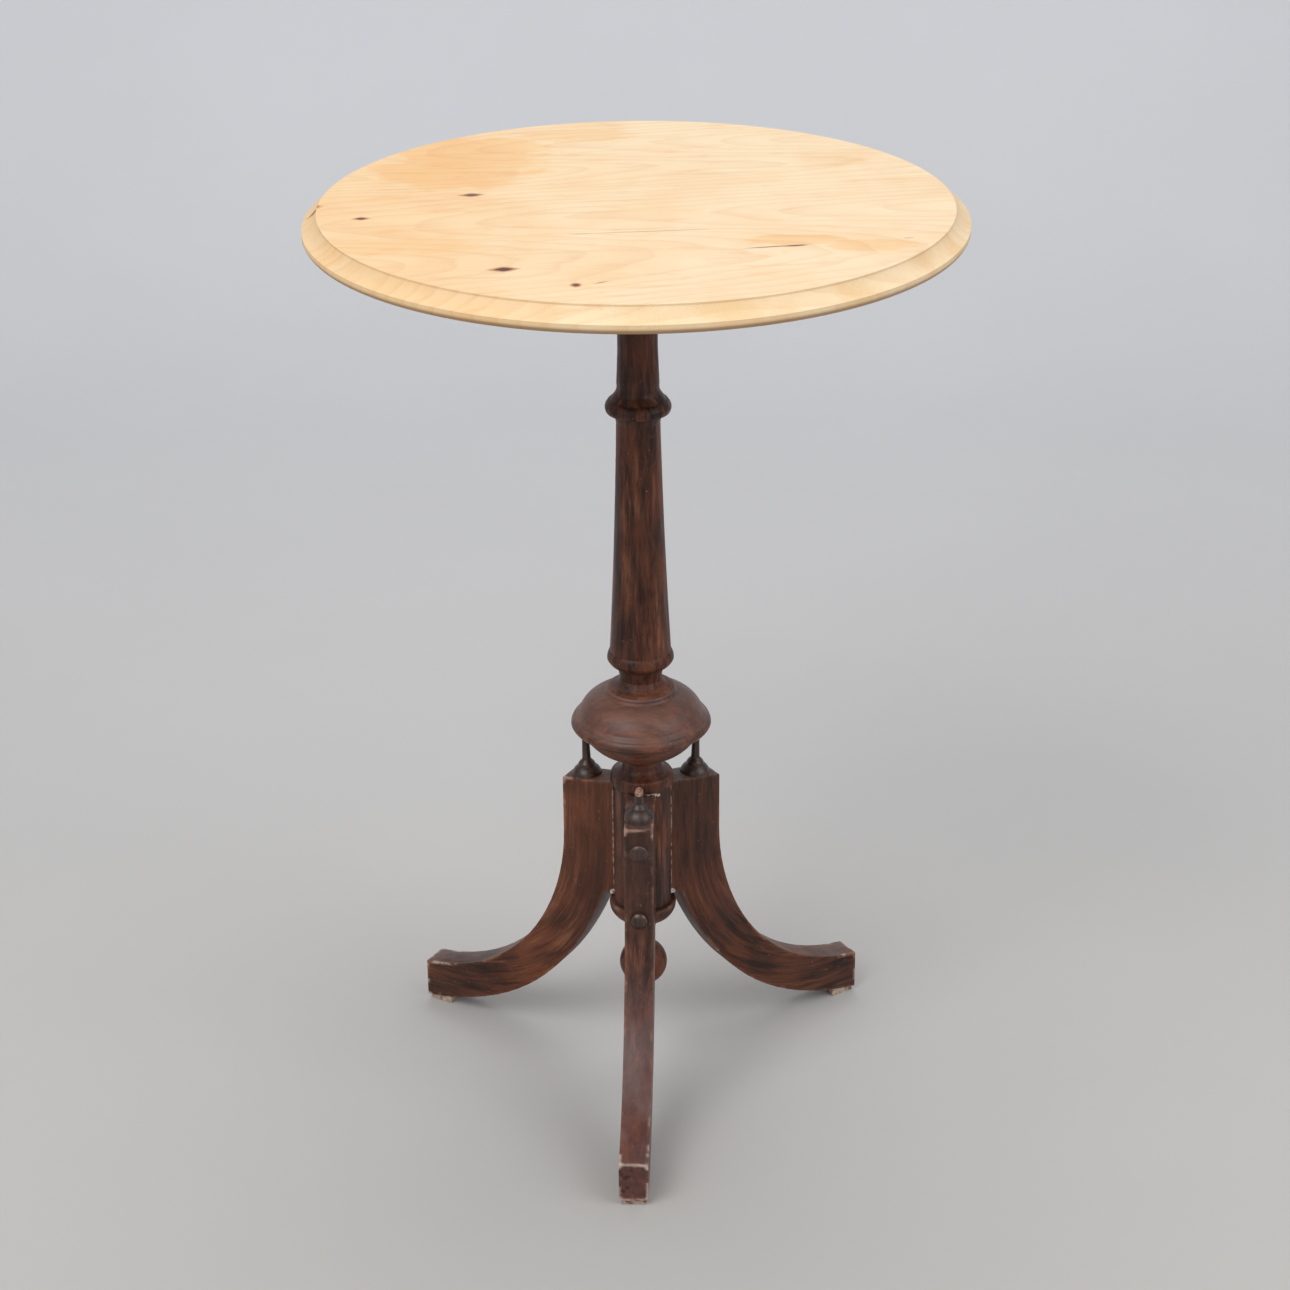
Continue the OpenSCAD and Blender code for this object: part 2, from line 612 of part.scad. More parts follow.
// A bell, a groove round it and a tapering stem, which ends at the height top with the radius top_r.
module spindle(a, top, top_r) color([0.13, 0.09, 0.08]) rotate([0, 0, a]) difference() {
    spindle_place() turned(concat(
        [[0, spindle_foot - 8], [3, spindle_foot - 8], [3, spindle_foot - 4], [bell_r, spindle_foot - 4],
            [bell_r, spindle_foot + 0.8]],
        bow([bell_r, spindle_foot + 0.8], [bell_groove_r + 0.7, bell_groove_z - 0.5], -0.5, 5),
        [[bell_groove_r, bell_groove_z]],
        bow([bell_groove_r + 0.4, bell_groove_z + 0.5], [stem_low_r + 0.5, spindle_foot + bell_h], -0.3, 4),
        [[stem_low_r, spindle_foot + bell_h + 1.4], [top_r, top - rim_band - 6], [top_r, top - seat],
            [0, top - seat]]));
    // The foot of the bell is cut to the slope of the leg top.
    difference() {
        rotate([90, 0, 0]) translate([0, 0, -leg_t]) linear_extrude(2 * leg_t)
            polygon([[spindle_r - 20, 200], [spindle_r + 20, 200],
                [spindle_r + 20, slope_at(spindle_r + 20)], [spindle_r - 20, slope_at(spindle_r - 20)]]);
        spindle_place() bar(3, 20, [0, 0, spindle_foot - 9]);
    }
}

// Height of the leg top, with its seat clearance, at the distance r from the column axis.
function slope_at(r) = leg_top_z + leg_top_rise * (leg_face_r + seat - r) / (leg_face_r - flat_r) + seat;

// The stem of the front spindle is cut off a little above its bell, sloping down towards the front.
module spindle_front() difference() {
    spindle(leg_angles[0], spindle_foot + bell_h + stub_len + 14, stem_low_r - 0.3);
    color([0.75, 0.66, 0.55]) rotate([0, 0, leg_angles[0]])
        translate([spindle_r, 0, spindle_foot + bell_h + stub_len]) rotate([0, 40, 0])
            translate([-20, -20, 0]) cube([40, 40, 40]);
}
module spindle_left() spindle(leg_angles[1], spindle_top, stem_top_r);
module spindle_right() spindle(leg_angles[2], spindle_top, stem_top_r);

// ---- Foot pads ----

module foot_pad(a) color([0.75, 0.66, 0.55]) rotate([0, 0, a]) rotate([90, 0, 0])
    translate([0, 0, -pad_w / 2]) linear_extrude(pad_w)
        polygon([[toe_r - pad_back - pad_len, 0], [toe_r - pad_back, 0],
            [toe_r - pad_back, sole_z + pad_slope * pad_back - seat],
            [toe_r - pad_back - pad_len, sole_z + pad_slope * (pad_back + pad_len) - seat]]);

module foot_pad_front() foot_pad(leg_angles[0]);
module foot_pad_left() foot_pad(leg_angles[1]);
module foot_pad_right() foot_pad(leg_angles[2]);

board_front();
board_middle();
board_back();
board_rear();
cleat_left();
cleat_right();
cleat_screws();
catch_case();
catch_screws();
catch_bolt();
catch_knob();
keeper_plate();
keeper_screws();
hinge_block();
pivot_pin_left();
pivot_pin_right();
column_shaft();
tenon_wedge();
bulb();
leg_block();
ball_finial();
leg_front();
leg_left();
leg_right();
leg_screws();
upper_buttons();
lower_buttons();
spindle_front();
spindle_left();
spindle_right();
foot_pad_front();
foot_pad_left();
foot_pad_right();
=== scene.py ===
import bpy
import math
from mathutils import Matrix, Vector


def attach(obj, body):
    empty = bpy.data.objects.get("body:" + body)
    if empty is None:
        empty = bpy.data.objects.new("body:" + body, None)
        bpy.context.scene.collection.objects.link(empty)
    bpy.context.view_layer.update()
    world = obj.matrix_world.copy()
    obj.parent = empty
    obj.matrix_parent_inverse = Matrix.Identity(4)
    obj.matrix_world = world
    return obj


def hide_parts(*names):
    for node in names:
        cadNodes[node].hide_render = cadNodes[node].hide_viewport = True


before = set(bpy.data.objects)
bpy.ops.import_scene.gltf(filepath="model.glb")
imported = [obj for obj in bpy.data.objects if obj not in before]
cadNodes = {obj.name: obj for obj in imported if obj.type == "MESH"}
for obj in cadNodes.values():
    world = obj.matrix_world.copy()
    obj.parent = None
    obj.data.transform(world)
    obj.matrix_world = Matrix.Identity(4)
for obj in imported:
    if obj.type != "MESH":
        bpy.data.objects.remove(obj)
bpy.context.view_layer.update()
scene = bpy.context.scene
scene.view_settings.view_transform = "Standard"
print("frame loaded,", len(cadNodes), "solids")


# small helpers for node trees
def addNode(tree, kind, sockets=None, **settings):
    node = tree.nodes.new(kind)
    for key, value in settings.items():
        setattr(node, key, value)
    for key, value in (sockets or {}).items():
        if isinstance(value, bpy.types.NodeSocket):
            tree.links.new(value, node.inputs[key])
        else:
            node.inputs[key].default_value = value
    return node


def calc(tree, operation, a, b=0.0):
    return addNode(tree, "ShaderNodeMath", {0: a, 1: b}, operation=operation).outputs[0]


def times(tree, a, b):
    return calc(tree, "MULTIPLY", a, b)


def plus(tree, a, b):
    return calc(tree, "ADD", a, b)


def vecCalc(tree, operation, a, b):
    return addNode(tree, "ShaderNodeVectorMath", {0: a, 1: b}, operation=operation).outputs[0]


def split(tree, vector):
    return addNode(tree, "ShaderNodeSeparateXYZ", {0: vector}).outputs


def length(tree, vector):
    return addNode(tree, "ShaderNodeVectorMath", {0: vector}, operation="LENGTH").outputs["Value"]


def surfaceNormal(tree):
    return addNode(tree, "ShaderNodeNewGeometry").outputs["Normal"]


def blend(tree, amount, a, b, mode="MIX"):
    return addNode(tree, "ShaderNodeMix", {0: amount, 6: a, 7: b}, data_type="RGBA",
                   blend_type=mode).outputs[2]


def fade(tree, value, low, high, toLow=0.0, toHigh=1.0):
    return addNode(tree, "ShaderNodeMapRange", {"Value": value, "From Min": low, "From Max": high,
                   "To Min": toLow, "To Max": toHigh}, interpolation_type="SMOOTHSTEP").outputs[0]


def noise(tree, vector, scale, detail=2.0, rough=0.5, key="Fac"):
    return addNode(tree, "ShaderNodeTexNoise", {"Vector": vector, "Scale": scale, "Detail": detail,
                   "Roughness": rough}).outputs[key]


def newGroup(name, inputs, outputs):
    tree = bpy.data.node_groups.new(name, "ShaderNodeTree")
    for label, kind, value in inputs:
        socket = tree.interface.new_socket(name=label, in_out="INPUT", socket_type="NodeSocket" + kind)
        socket.default_value = value
    for label, kind in outputs:
        tree.interface.new_socket(name=label, in_out="OUTPUT", socket_type="NodeSocket" + kind)
    return tree, tree.nodes.new("NodeGroupInput").outputs, tree.nodes.new("NodeGroupOutput").inputs


def useGroup(tree, group, sockets):
    return addNode(tree, "ShaderNodeGroup", sockets, node_tree=group).outputs


# effects that several materials share
# noises as scale, detail and roughness, and fades as low and high
grainSettings = {
    "sway": (9.0, 2.0),
    "bands": (1.0, 4.0, 0.6),
    "fibres": (1.0, 2.0, 0.6),
    "fibreStretch": (0.6, 7.0, 7.0),
    "clouds": (16.0, 3.0),
}


def makeGrain():
    # grain that runs along the X of the vector: broad bands, fine fibres and soft clouds
    tree, given, result = newGroup("woodGrain",
        [("Vector", "Vector", (0, 0, 0)), ("Spread", "Float", 90.0), ("Stretch", "Float", 12.0),
         ("Warp", "Float", 0.004)],
        [("Bands", "Float"), ("Fibres", "Float"), ("Clouds", "Float")])
    swayNoise = noise(tree, given["Vector"], *grainSettings["sway"], key="Color")
    sway = vecCalc(tree, "SUBTRACT", swayNoise, (0.5, 0.5, 0.5))
    scaledSway = addNode(tree, "ShaderNodeVectorMath", {0: sway, "Scale": given["Warp"]},
                         operation="SCALE").outputs[0]
    moved = vecCalc(tree, "ADD", given["Vector"], scaledSway)
    along = calc(tree, "DIVIDE", given["Spread"], given["Stretch"])
    ratio = addNode(tree, "ShaderNodeCombineXYZ",
                    {0: along, 1: given["Spread"], 2: given["Spread"]}).outputs[0]
    drawn = vecCalc(tree, "MULTIPLY", moved, ratio)
    thin = vecCalc(tree, "MULTIPLY", drawn, grainSettings["fibreStretch"])
    tree.links.new(noise(tree, drawn, *grainSettings["bands"]), result["Bands"])
    tree.links.new(noise(tree, thin, *grainSettings["fibres"]), result["Fibres"])
    tree.links.new(noise(tree, given["Vector"], *grainSettings["clouds"]), result["Clouds"])
    return tree


ringSettings = {
    "driftStretch": (5.0, 16.0, 16.0),
    "driftNoise": (1.0, 2.0),
    "driftReach": 0.022,
    "sharpness": 3.0,
    "lateEnd": (1.0, 0.9),
}


def makeRings():
    # growth rings of a flat sawn board whose heart lies Depth under it and dips along the board
    tree, given, result = newGroup("boardRings",
        [("Vector", "Vector", (0, 0, 0)), ("Width", "Float", 0.009), ("Depth", "Float", 0.05),
         ("Dip", "Float", 0.25)],
        [("Rings", "Float")])
    parts = split(tree, given["Vector"])
    low = plus(tree, times(tree, parts[0], given["Dip"]), given["Depth"])
    spread = calc(tree, "POWER", plus(tree, times(tree, parts[1], parts[1]), times(tree, low, low)), 0.5)
    stretched = vecCalc(tree, "MULTIPLY", given["Vector"], ringSettings["driftStretch"])
    drift = times(tree, noise(tree, stretched, *ringSettings["driftNoise"]), ringSettings["driftReach"])
    saw = calc(tree, "FRACT", calc(tree, "DIVIDE", plus(tree, spread, drift), given["Width"]))
    ring = calc(tree, "POWER", saw, ringSettings["sharpness"])
    tree.links.new(times(tree, ring, fade(tree, saw, *ringSettings["lateEnd"])), result["Rings"])
    return tree


wearAndCornerSettings = {
    "samples": 8,
    "cornerReach": 2.5,
    "coarse": (55.0, 4.0, 0.65),
    "fine": (600.0, 2.0),
    "fineAmount": 0.3,
    "edge": (0.10, 0.22),
    "corner": (0.05, 0.6),
}


def makeWearAndCorners():
    # rubbed convex edges broken up by a noise, and a corner mask from occlusion in the hollows: painted
    # shade on the wood, tarnish on the metal
    tree, given, result = newGroup("edgeWearAndCorners",
        [("Vector", "Vector", (0, 0, 0)), ("Reach", "Float", 0.004), ("Amount", "Float", 0.5)],
        [("Edge", "Float"), ("Corner", "Float")])
    cornerReach = times(tree, given["Reach"], wearAndCornerSettings["cornerReach"])
    outer = addNode(tree, "ShaderNodeAmbientOcclusion", {"Distance": given["Reach"]}, inside=True,
                    only_local=True, samples=wearAndCornerSettings["samples"]).outputs["AO"]
    inner = addNode(tree, "ShaderNodeAmbientOcclusion", {"Distance": cornerReach},
                    only_local=True, samples=wearAndCornerSettings["samples"]).outputs["AO"]
    fine = times(tree, noise(tree, given["Vector"], *wearAndCornerSettings["fine"]), wearAndCornerSettings["fineAmount"])
    ragged = plus(tree, noise(tree, given["Vector"], *wearAndCornerSettings["coarse"]), fine)
    level = times(tree, calc(tree, "SUBTRACT", 1.0, outer), times(tree, ragged, given["Amount"]))
    hollow = calc(tree, "SUBTRACT", 1.0, inner)
    tree.links.new(fade(tree, level, *wearAndCornerSettings["edge"]), result["Edge"])
    tree.links.new(fade(tree, hollow, *wearAndCornerSettings["corner"]), result["Corner"])
    return tree


scuffSettings = {
    "turns": (0.6, -0.9, 1.5),
    "pitch": 0.7,
    "yaw": 0.3,
    "stretch": (1.0, 14.0, 14.0),
    "line": (0.72, 0.78),
    "gateNoise": (22.0, 2.0),
    "gate": (0.45, 0.65),
}


def makeScuffs():
    # short thin scratches in three directions
    tree, given, result = newGroup("scuffs",
        [("Vector", "Vector", (0, 0, 0)), ("Scale", "Float", 60.0), ("Amount", "Float", 0.3)],
        [("Marks", "Float")])
    marks = None
    for turn in scuffSettings["turns"]:
        lie = (turn, turn * scuffSettings["pitch"], turn * scuffSettings["yaw"])
        laid = addNode(tree, "ShaderNodeMapping", {"Vector": given["Vector"], "Rotation": lie}).outputs[0]
        drawn = vecCalc(tree, "MULTIPLY", laid, scuffSettings["stretch"])
        line = fade(tree, noise(tree, drawn, given["Scale"], 1.0), *scuffSettings["line"])
        marks = line if marks is None else calc(tree, "MAXIMUM", marks, line)
    gate = fade(tree, noise(tree, given["Vector"], *scuffSettings["gateNoise"]), *scuffSettings["gate"])
    tree.links.new(times(tree, times(tree, marks, gate), given["Amount"]), result["Marks"])
    return tree


spotSettings = {"ragNoise": (2.2, 4.0, 0.6), "lensPower": 1.4, "pull": (4.0, 0.0)}


def makeSpot():
    # an oval spot with a ragged border; Soft 0 is sharp and 1 fades from the middle, Lens 1 points
    # its ends, and Pull rises towards its middle
    tree, given, result = newGroup("ovalSpot",
        [("Vector", "Vector", (0, 0, 0)), ("Centre", "Vector", (0, 0, 0)),
         ("Size", "Vector", (0.02, 0.01, 1.0)), ("Turn", "Float", 0.0), ("Ragged", "Float", 0.2),
         ("Soft", "Float", 0.3), ("Lens", "Float", 0.0)],
        [("Mask", "Float"), ("Pull", "Float")])
    away = vecCalc(tree, "SUBTRACT", given["Vector"], given["Centre"])
    turned = addNode(tree, "ShaderNodeVectorRotate", {"Vector": away, "Angle": given["Turn"]},
                     rotation_type="Z_AXIS", invert=True).outputs[0]
    flat = vecCalc(tree, "MULTIPLY", vecCalc(tree, "DIVIDE", turned, given["Size"]), (1, 1, 0))
    oval = length(tree, flat)
    parts = split(tree, flat)
    point = calc(tree, "POWER", calc(tree, "ABSOLUTE", parts[0]), spotSettings["lensPower"])
    pointed = plus(tree, calc(tree, "ABSOLUTE", parts[1]), point)
    reach = plus(tree, oval, times(tree, calc(tree, "SUBTRACT", pointed, oval), given["Lens"]))
    rag = calc(tree, "SUBTRACT", noise(tree, flat, *spotSettings["ragNoise"]), 0.5)
    edge = plus(tree, reach, times(tree, rag, given["Ragged"]))
    start = calc(tree, "SUBTRACT", 1.0, given["Soft"])
    tree.links.new(fade(tree, edge, 1.0, start), result["Mask"])
    tree.links.new(fade(tree, reach, *spotSettings["pull"]), result["Pull"])
    return tree


dustSettings = {"facing": (0.3, 1.0), "cloudNoise": (30.0, 4.0), "cloud": (0.3, 0.7)}


def makeDust():
    # a thin grey film on what faces up
    tree, given, result = newGroup("dustFilm",
        [("Vector", "Vector", (0, 0, 0)), ("Amount", "Float", 0.2)], [("Film", "Float")])
    facing = split(tree, surfaceNormal(tree))[2]
    up = fade(tree, facing, *dustSettings["facing"])
    cloud = fade(tree, noise(tree, given["Vector"], *dustSettings["cloudNoise"]), *dustSettings["cloud"])
    tree.links.new(times(tree, times(tree, up, cloud), given["Amount"]), result["Film"])
    return tree


# metres of grain to one radian of the bend, and the least reach that gives an angle
sweepSettings = {"radius": 0.13, "least": 0.0001}


def makeSweepPath():
    # turns a leg's own axes (out, side, up) into (along, across, side) of its sweep
    tree, given, result = newGroup("legSweepPath",
        [("Vector", "Vector", (0, 0, 0)), ("Out", "Float", 0.185), ("Up", "Float", 0.195)],
        [("Vector", "Vector")])
    parts = split(tree, given["Vector"])
    toOut = calc(tree, "SUBTRACT", given["Out"], parts[0])
    toUp = calc(tree, "SUBTRACT", given["Up"], parts[2])
    inOut = calc(tree, "MAXIMUM", toOut, 0.0)
    inUp = calc(tree, "MAXIMUM", toUp, 0.0)
    across = calc(tree, "POWER", plus(tree, times(tree, inOut, inOut), times(tree, inUp, inUp)), 0.5)
    angle = calc(tree, "ARCTAN2", inUp, calc(tree, "MAXIMUM", inOut, sweepSettings["least"]))
    beyond = plus(tree, calc(tree, "MINIMUM", toUp, 0.0),
                  times(tree, calc(tree, "MINIMUM", toOut, 0.0), -1.0))
    along = plus(tree, times(tree, angle, sweepSettings["radius"]), beyond)
    joined = addNode(tree, "ShaderNodeCombineXYZ", {0: along, 1: across, 2: parts[1]}).outputs[0]
    tree.links.new(joined, result["Vector"])
    return tree


woodGrain = makeGrain()
boardRings = makeRings()
edgeWearAndCorners = makeWearAndCorners()
scuffs = makeScuffs()
ovalSpot = makeSpot()
dustFilm = makeDust()
legSweepPath = makeSweepPath()
print("shared effects built")


# materials
def newMaterial(name):
    material = bpy.data.materials.new(name)
    material.use_nodes = True
    tree = material.node_tree
    shader = tree.nodes["Principled BSDF"]
    place = addNode(tree, "ShaderNodeTexCoord").outputs["Object"]
    return material, tree, shader, place


bumpStrength = 0.6


def linkShader(tree, shader, colour, rough, height, depth):
    tree.links.new(colour, shader.inputs["Base Color"])
    tree.links.new(rough, shader.inputs["Roughness"])
    bump = addNode(tree, "ShaderNodeBump", {"Height": height, "Distance": depth, "Strength": bumpStrength})
    tree.links.new(bump.outputs[0], shader.inputs["Normal"])


# the bare boards of the top
boardLook = {
    "pale": (0.90, 0.71, 0.465, 1),
    "honey": (0.86, 0.57, 0.30, 1),
    "ring": (0.72, 0.41, 0.19, 1),
    "patch": (0.98, 0.86, 0.70, 1),
    "knot": (0.10, 0.034, 0.022, 1),
    "knotRim": (0.50, 0.21, 0.09, 1),
    "seamAndShadeDark": (0.33, 0.17, 0.07, 1),
    "moulding": (0.78, 0.52, 0.25, 1),
    "mottleTint": (0.95, 0.80, 0.68, 1),
    # boards lie turned from the hinge axis
    "turn": math.radians(5),
    "grain": {"Spread": 130.0, "Stretch": 16.0, "Warp": 0.012},
    "gloss": 0.35,
    "bumpDepth": 0.00012,
    # noises as scale, detail and roughness
    "driftNoise": (7.0, 5.0, 0.65),
    "mottleNoise": (26.0, 5.0, 0.7),
    "mottleStretch": (1.0, 2.2, 1.0),
    "poreNoise": (900.0, 3.0),
    "blotchNoise": (18.0, 4.0, 0.6),
    # fades as low, high and what they give there
    "honeyClouds": (0.35, 0.75, 0.0, 0.55),
    "darkBands": (0.52, 0.8, 0.0, 0.4),
    "honeyFibres": (0.62, 0.8, 0.0, 0.35),
    "honeySide": (0.16, -0.06, 0.0, 0.75),
    "mottle": (0.52, 0.72, 0.0, 0.5),
    "blotch": (0.42, 0.66),
    "pores": (0.4, 0.7, 0.2, 0.6),
    "roughness": (0.3, 0.8, 0.44, 0.58),
    # metres from the middle where the moulding and its end grain begin, and heights of the underside
    "rimAt": (0.2325, 0.2345),
    "endGrainAt": (0.15, 0.23),
    "underAt": (0.7275, 0.7245),
    # how strongly each layer shows
    "ringAmount": 0.34,
    "driftReach": 0.25,
    "rimAmount": 0.16,
    "cornerAmount": 0.10,
    "underAmount": 0.75,
    "endGrainLeast": 0.25,
    "fibreBump": 0.4,
    "ringBump": 0.2,
}
knotSpot = {"Ragged": 0.35, "Soft": 0.45}
knotHalo = {"Ragged": 0.5, "Soft": 0.5}
haloReach = (1.7, 1.5)
boardCornerShade = {"Reach": 0.003, "Amount": 0.6}
patchSpot = {"Turn": 0.0, "Ragged": 1.1, "Soft": 0.25}
markSpot = {"Ragged": 0.6, "Soft": 0.7}


# shift tells the boards' grain apart, and heart says where the middle of the growth rings lies
def boardWood(name, shift, heart, knots=(), patches=(), marks=()):
    material, tree, shader, place = newMaterial(name)
    laid = addNode(tree, "ShaderNodeMapping", {"Vector": place, "Rotation": (0, 0, -boardLook["turn"]),
                                               "Location": shift}).outputs[0]
    grainPlace = laid
    knotMasks = []
    for knot in knots:
        oval = {"Vector": place, "Centre": knot["at"], "Turn": knot.get("turn", boardLook["turn"]),
                "Lens": knot.get("lens", 1.0)}
        spot = useGroup(tree, ovalSpot, oval | knotSpot | {"Size": knot["size"]})
        shove = times(tree, spot["Pull"], knot["push"])
        grainPlace = vecCalc(tree, "ADD", grainPlace,
                             addNode(tree, "ShaderNodeCombineXYZ", {1: shove}).outputs[0])
        haloSize = (haloReach[0] * knot["size"][0], haloReach[1] * knot["size"][1], 1)
        halo = useGroup(tree, ovalSpot, oval | knotHalo | {"Size": haloSize})
        knotMasks.append((spot["Mask"], halo["Mask"], knot))
    grain = useGroup(tree, woodGrain, {"Vector": grainPlace} | boardLook["grain"])
    ringPlace = vecCalc(tree, "ADD", grainPlace, heart["at"])
    rings = useGroup(tree, boardRings, {"Vector": ringPlace, "Width": heart["width"],
                                        "Depth": heart["depth"], "Dip": heart["dip"]})
    colour = blend(tree, fade(tree, grain["Clouds"], *boardLook["honeyClouds"]), boardLook["pale"],
                   boardLook["honey"])
    colour = blend(tree, times(tree, rings["Rings"], boardLook["ringAmount"]), colour, boardLook["ring"])
    colour = blend(tree, fade(tree, grain["Bands"], *boardLook["darkBands"]), colour, boardLook["ring"])
    colour = blend(tree, fade(tree, grain["Fibres"], *boardLook["honeyFibres"]), colour, boardLook["honey"])
    onTop = split(tree, place)
    wander = times(tree, noise(tree, place, *boardLook["driftNoise"]), boardLook["driftReach"])
    drift = plus(tree, onTop[0], wander)
    colour = blend(tree, fade(tree, drift, *boardLook["honeySide"]), colour, boardLook["patch"], "MULTIPLY")
    mottlePlace = vecCalc(tree, "MULTIPLY", laid, boardLook["mottleStretch"])
    mottle = fade(tree, noise(tree, mottlePlace, *boardLook["mottleNoise"]), *boardLook["mottle"])
    colour = blend(tree, mottle, colour, boardLook["mottleTint"], "MULTIPLY")
    for patch in patches:
        spot = useGroup(tree, ovalSpot, {"Vector": place, "Centre": patch["at"],
                                         "Size": patch["size"]} | patchSpot)
        colour = blend(tree, times(tree, spot["Mask"], patch["depth"]), colour, boardLook["patch"],
                       "MULTIPLY")
    # the moulded edge is a little browner, with end grain on the two sides
    rim = fade(tree, length(tree, vecCalc(tree, "MULTIPLY", place, (1, 1, 0))), *boardLook["rimAt"])
    alongBoard = calc(tree, "ABSOLUTE", split(tree, laid)[0])
    side = times(tree, rim, fade(tree, alongBoard, *boardLook["endGrainAt"]))
    pores = fade(tree, noise(tree, place, *boardLook["poreNoise"]), *boardLook["pores"])
    blotch = fade(tree, noise(tree, place, *boardLook["blotchNoise"]), *boardLook["blotch"])
    brown = times(tree, rim, times(tree, blotch, boardLook["rimAmount"]))
    colour = blend(tree, brown, colour, boardLook["moulding"])
    endGrain = times(tree, side, times(tree, pores, plus(tree, blotch, boardLook["endGrainLeast"])))
    colour = blend(tree, endGrain, colour, boardLook["moulding"])
    # painted shade: the corner mask darkens the board's inner corners, such as the step of the moulding
    wear = useGroup(tree, edgeWearAndCorners, {"Vector": place} | boardCornerShade)
    colour = blend(tree, times(tree, wear["Corner"], boardLook["cornerAmount"]), colour,
                   boardLook["seamAndShadeDark"])
    # painted shade: the underside of the top and the lower band of its edge are darkened
    under = fade(tree, onTop[2], *boardLook["underAt"])
    colour = blend(tree, times(tree, under, boardLook["underAmount"]), colour, boardLook["seamAndShadeDark"])
    for mask, halo, knot in knotMasks:
        colour = blend(tree, times(tree, halo, knot["halo"]), colour, boardLook["knotRim"])
        colour = blend(tree, times(tree, mask, knot["dark"]), colour, boardLook["knot"])
    for mark in marks:
        spot = useGroup(tree, ovalSpot, {"Vector": place, "Centre": mark["at"], "Size": mark["size"],
                                         "Turn": mark["turn"]} | markSpot)
        colour = blend(tree, times(tree, spot["Mask"], mark["depth"]), colour,
                       mark.get("colour", boardLook["seamAndShadeDark"]))
    rough = fade(tree, grain["Fibres"], *boardLook["roughness"])
    height = plus(tree, times(tree, grain["Fibres"], boardLook["fibreBump"]),
                  times(tree, rings["Rings"], boardLook["ringBump"]))
    linkShader(tree, shader, colour, rough, height, boardLook["bumpDepth"])
    shader.inputs["Specular IOR Level"].default_value = boardLook["gloss"]
    return material


# the dark red stain of the pedestal, worn at its edges
stainLook = {
    "dark": (0.018, 0.0075, 0.0055, 1),
    "mid": (0.088, 0.028, 0.014, 1),
    "red": (0.165, 0.050, 0.022, 1),
    "light": (0.300, 0.120, 0.062, 1),
    "bare": (0.46, 0.29, 0.22, 1),
    "dust": (0.28, 0.22, 0.20, 1),
    "streakDark": (0.38, 0.32, 0.30, 1),
    "streakLight": (1.75, 1.55, 1.45, 1),
    "warp": 0.006,
    "wearReach": 0.0045,
    "scuffScale": 45.0,
    "gloss": 0.28,
    "bumpDepth": 0.0004,
    # noises as scale, detail and roughness
    "liftNoise": (25.0, 3.0),
    "streakStretch": (22.0, 170.0, 170.0),
    "streakNoise": (1.0, 6.0, 0.7),
    "chipNoise": (38.0, 3.0, 0.6),
    "bareNoise": (90.0, 2.0),
    "speckNoise": (330.0, 2.0, 0.5),
    "edgeChipNoise": (70.0, 3.0, 0.6),
    # fades as low, high and what they give there
    "midBands": (0.30, 0.62),
    "redClouds": (0.42, 0.68),
    "lightBands": (0.50, 0.72),
    "lift": (0.38, 0.68),
    "darkFibres": (0.52, 0.74, 0.0, 0.5),
    "lightFibres": (0.42, 0.28, 0.0, 0.22),
    "darkStreaks": (0.47, 0.62, 0.0, 0.9),
    "lightStreaks": (0.46, 0.32, 0.0, 0.55),
    "chips": (0.50, 0.66, 0.12, 0.9),
    "bareWood": (0.5, 0.66),
    "specks": (0.70, 0.76, 0.0, 0.5),
    "chipGate": (0.46, 0.54),
    "edgeChipGate": (0.42, 0.56),
    "roughness": (0.3, 0.7, 0.34, 0.50),
    "cornerAmount": 0.75,
    "chipSoft": 0.15,
    "chipAmount": 0.9,
    "chipGrain": (3.0, 0.6),
    "scuffRoughness": 0.25,
    "fibreBump": 0.6,
    "scuffBump": 0.5,
    "streakBump": 0.8,
}


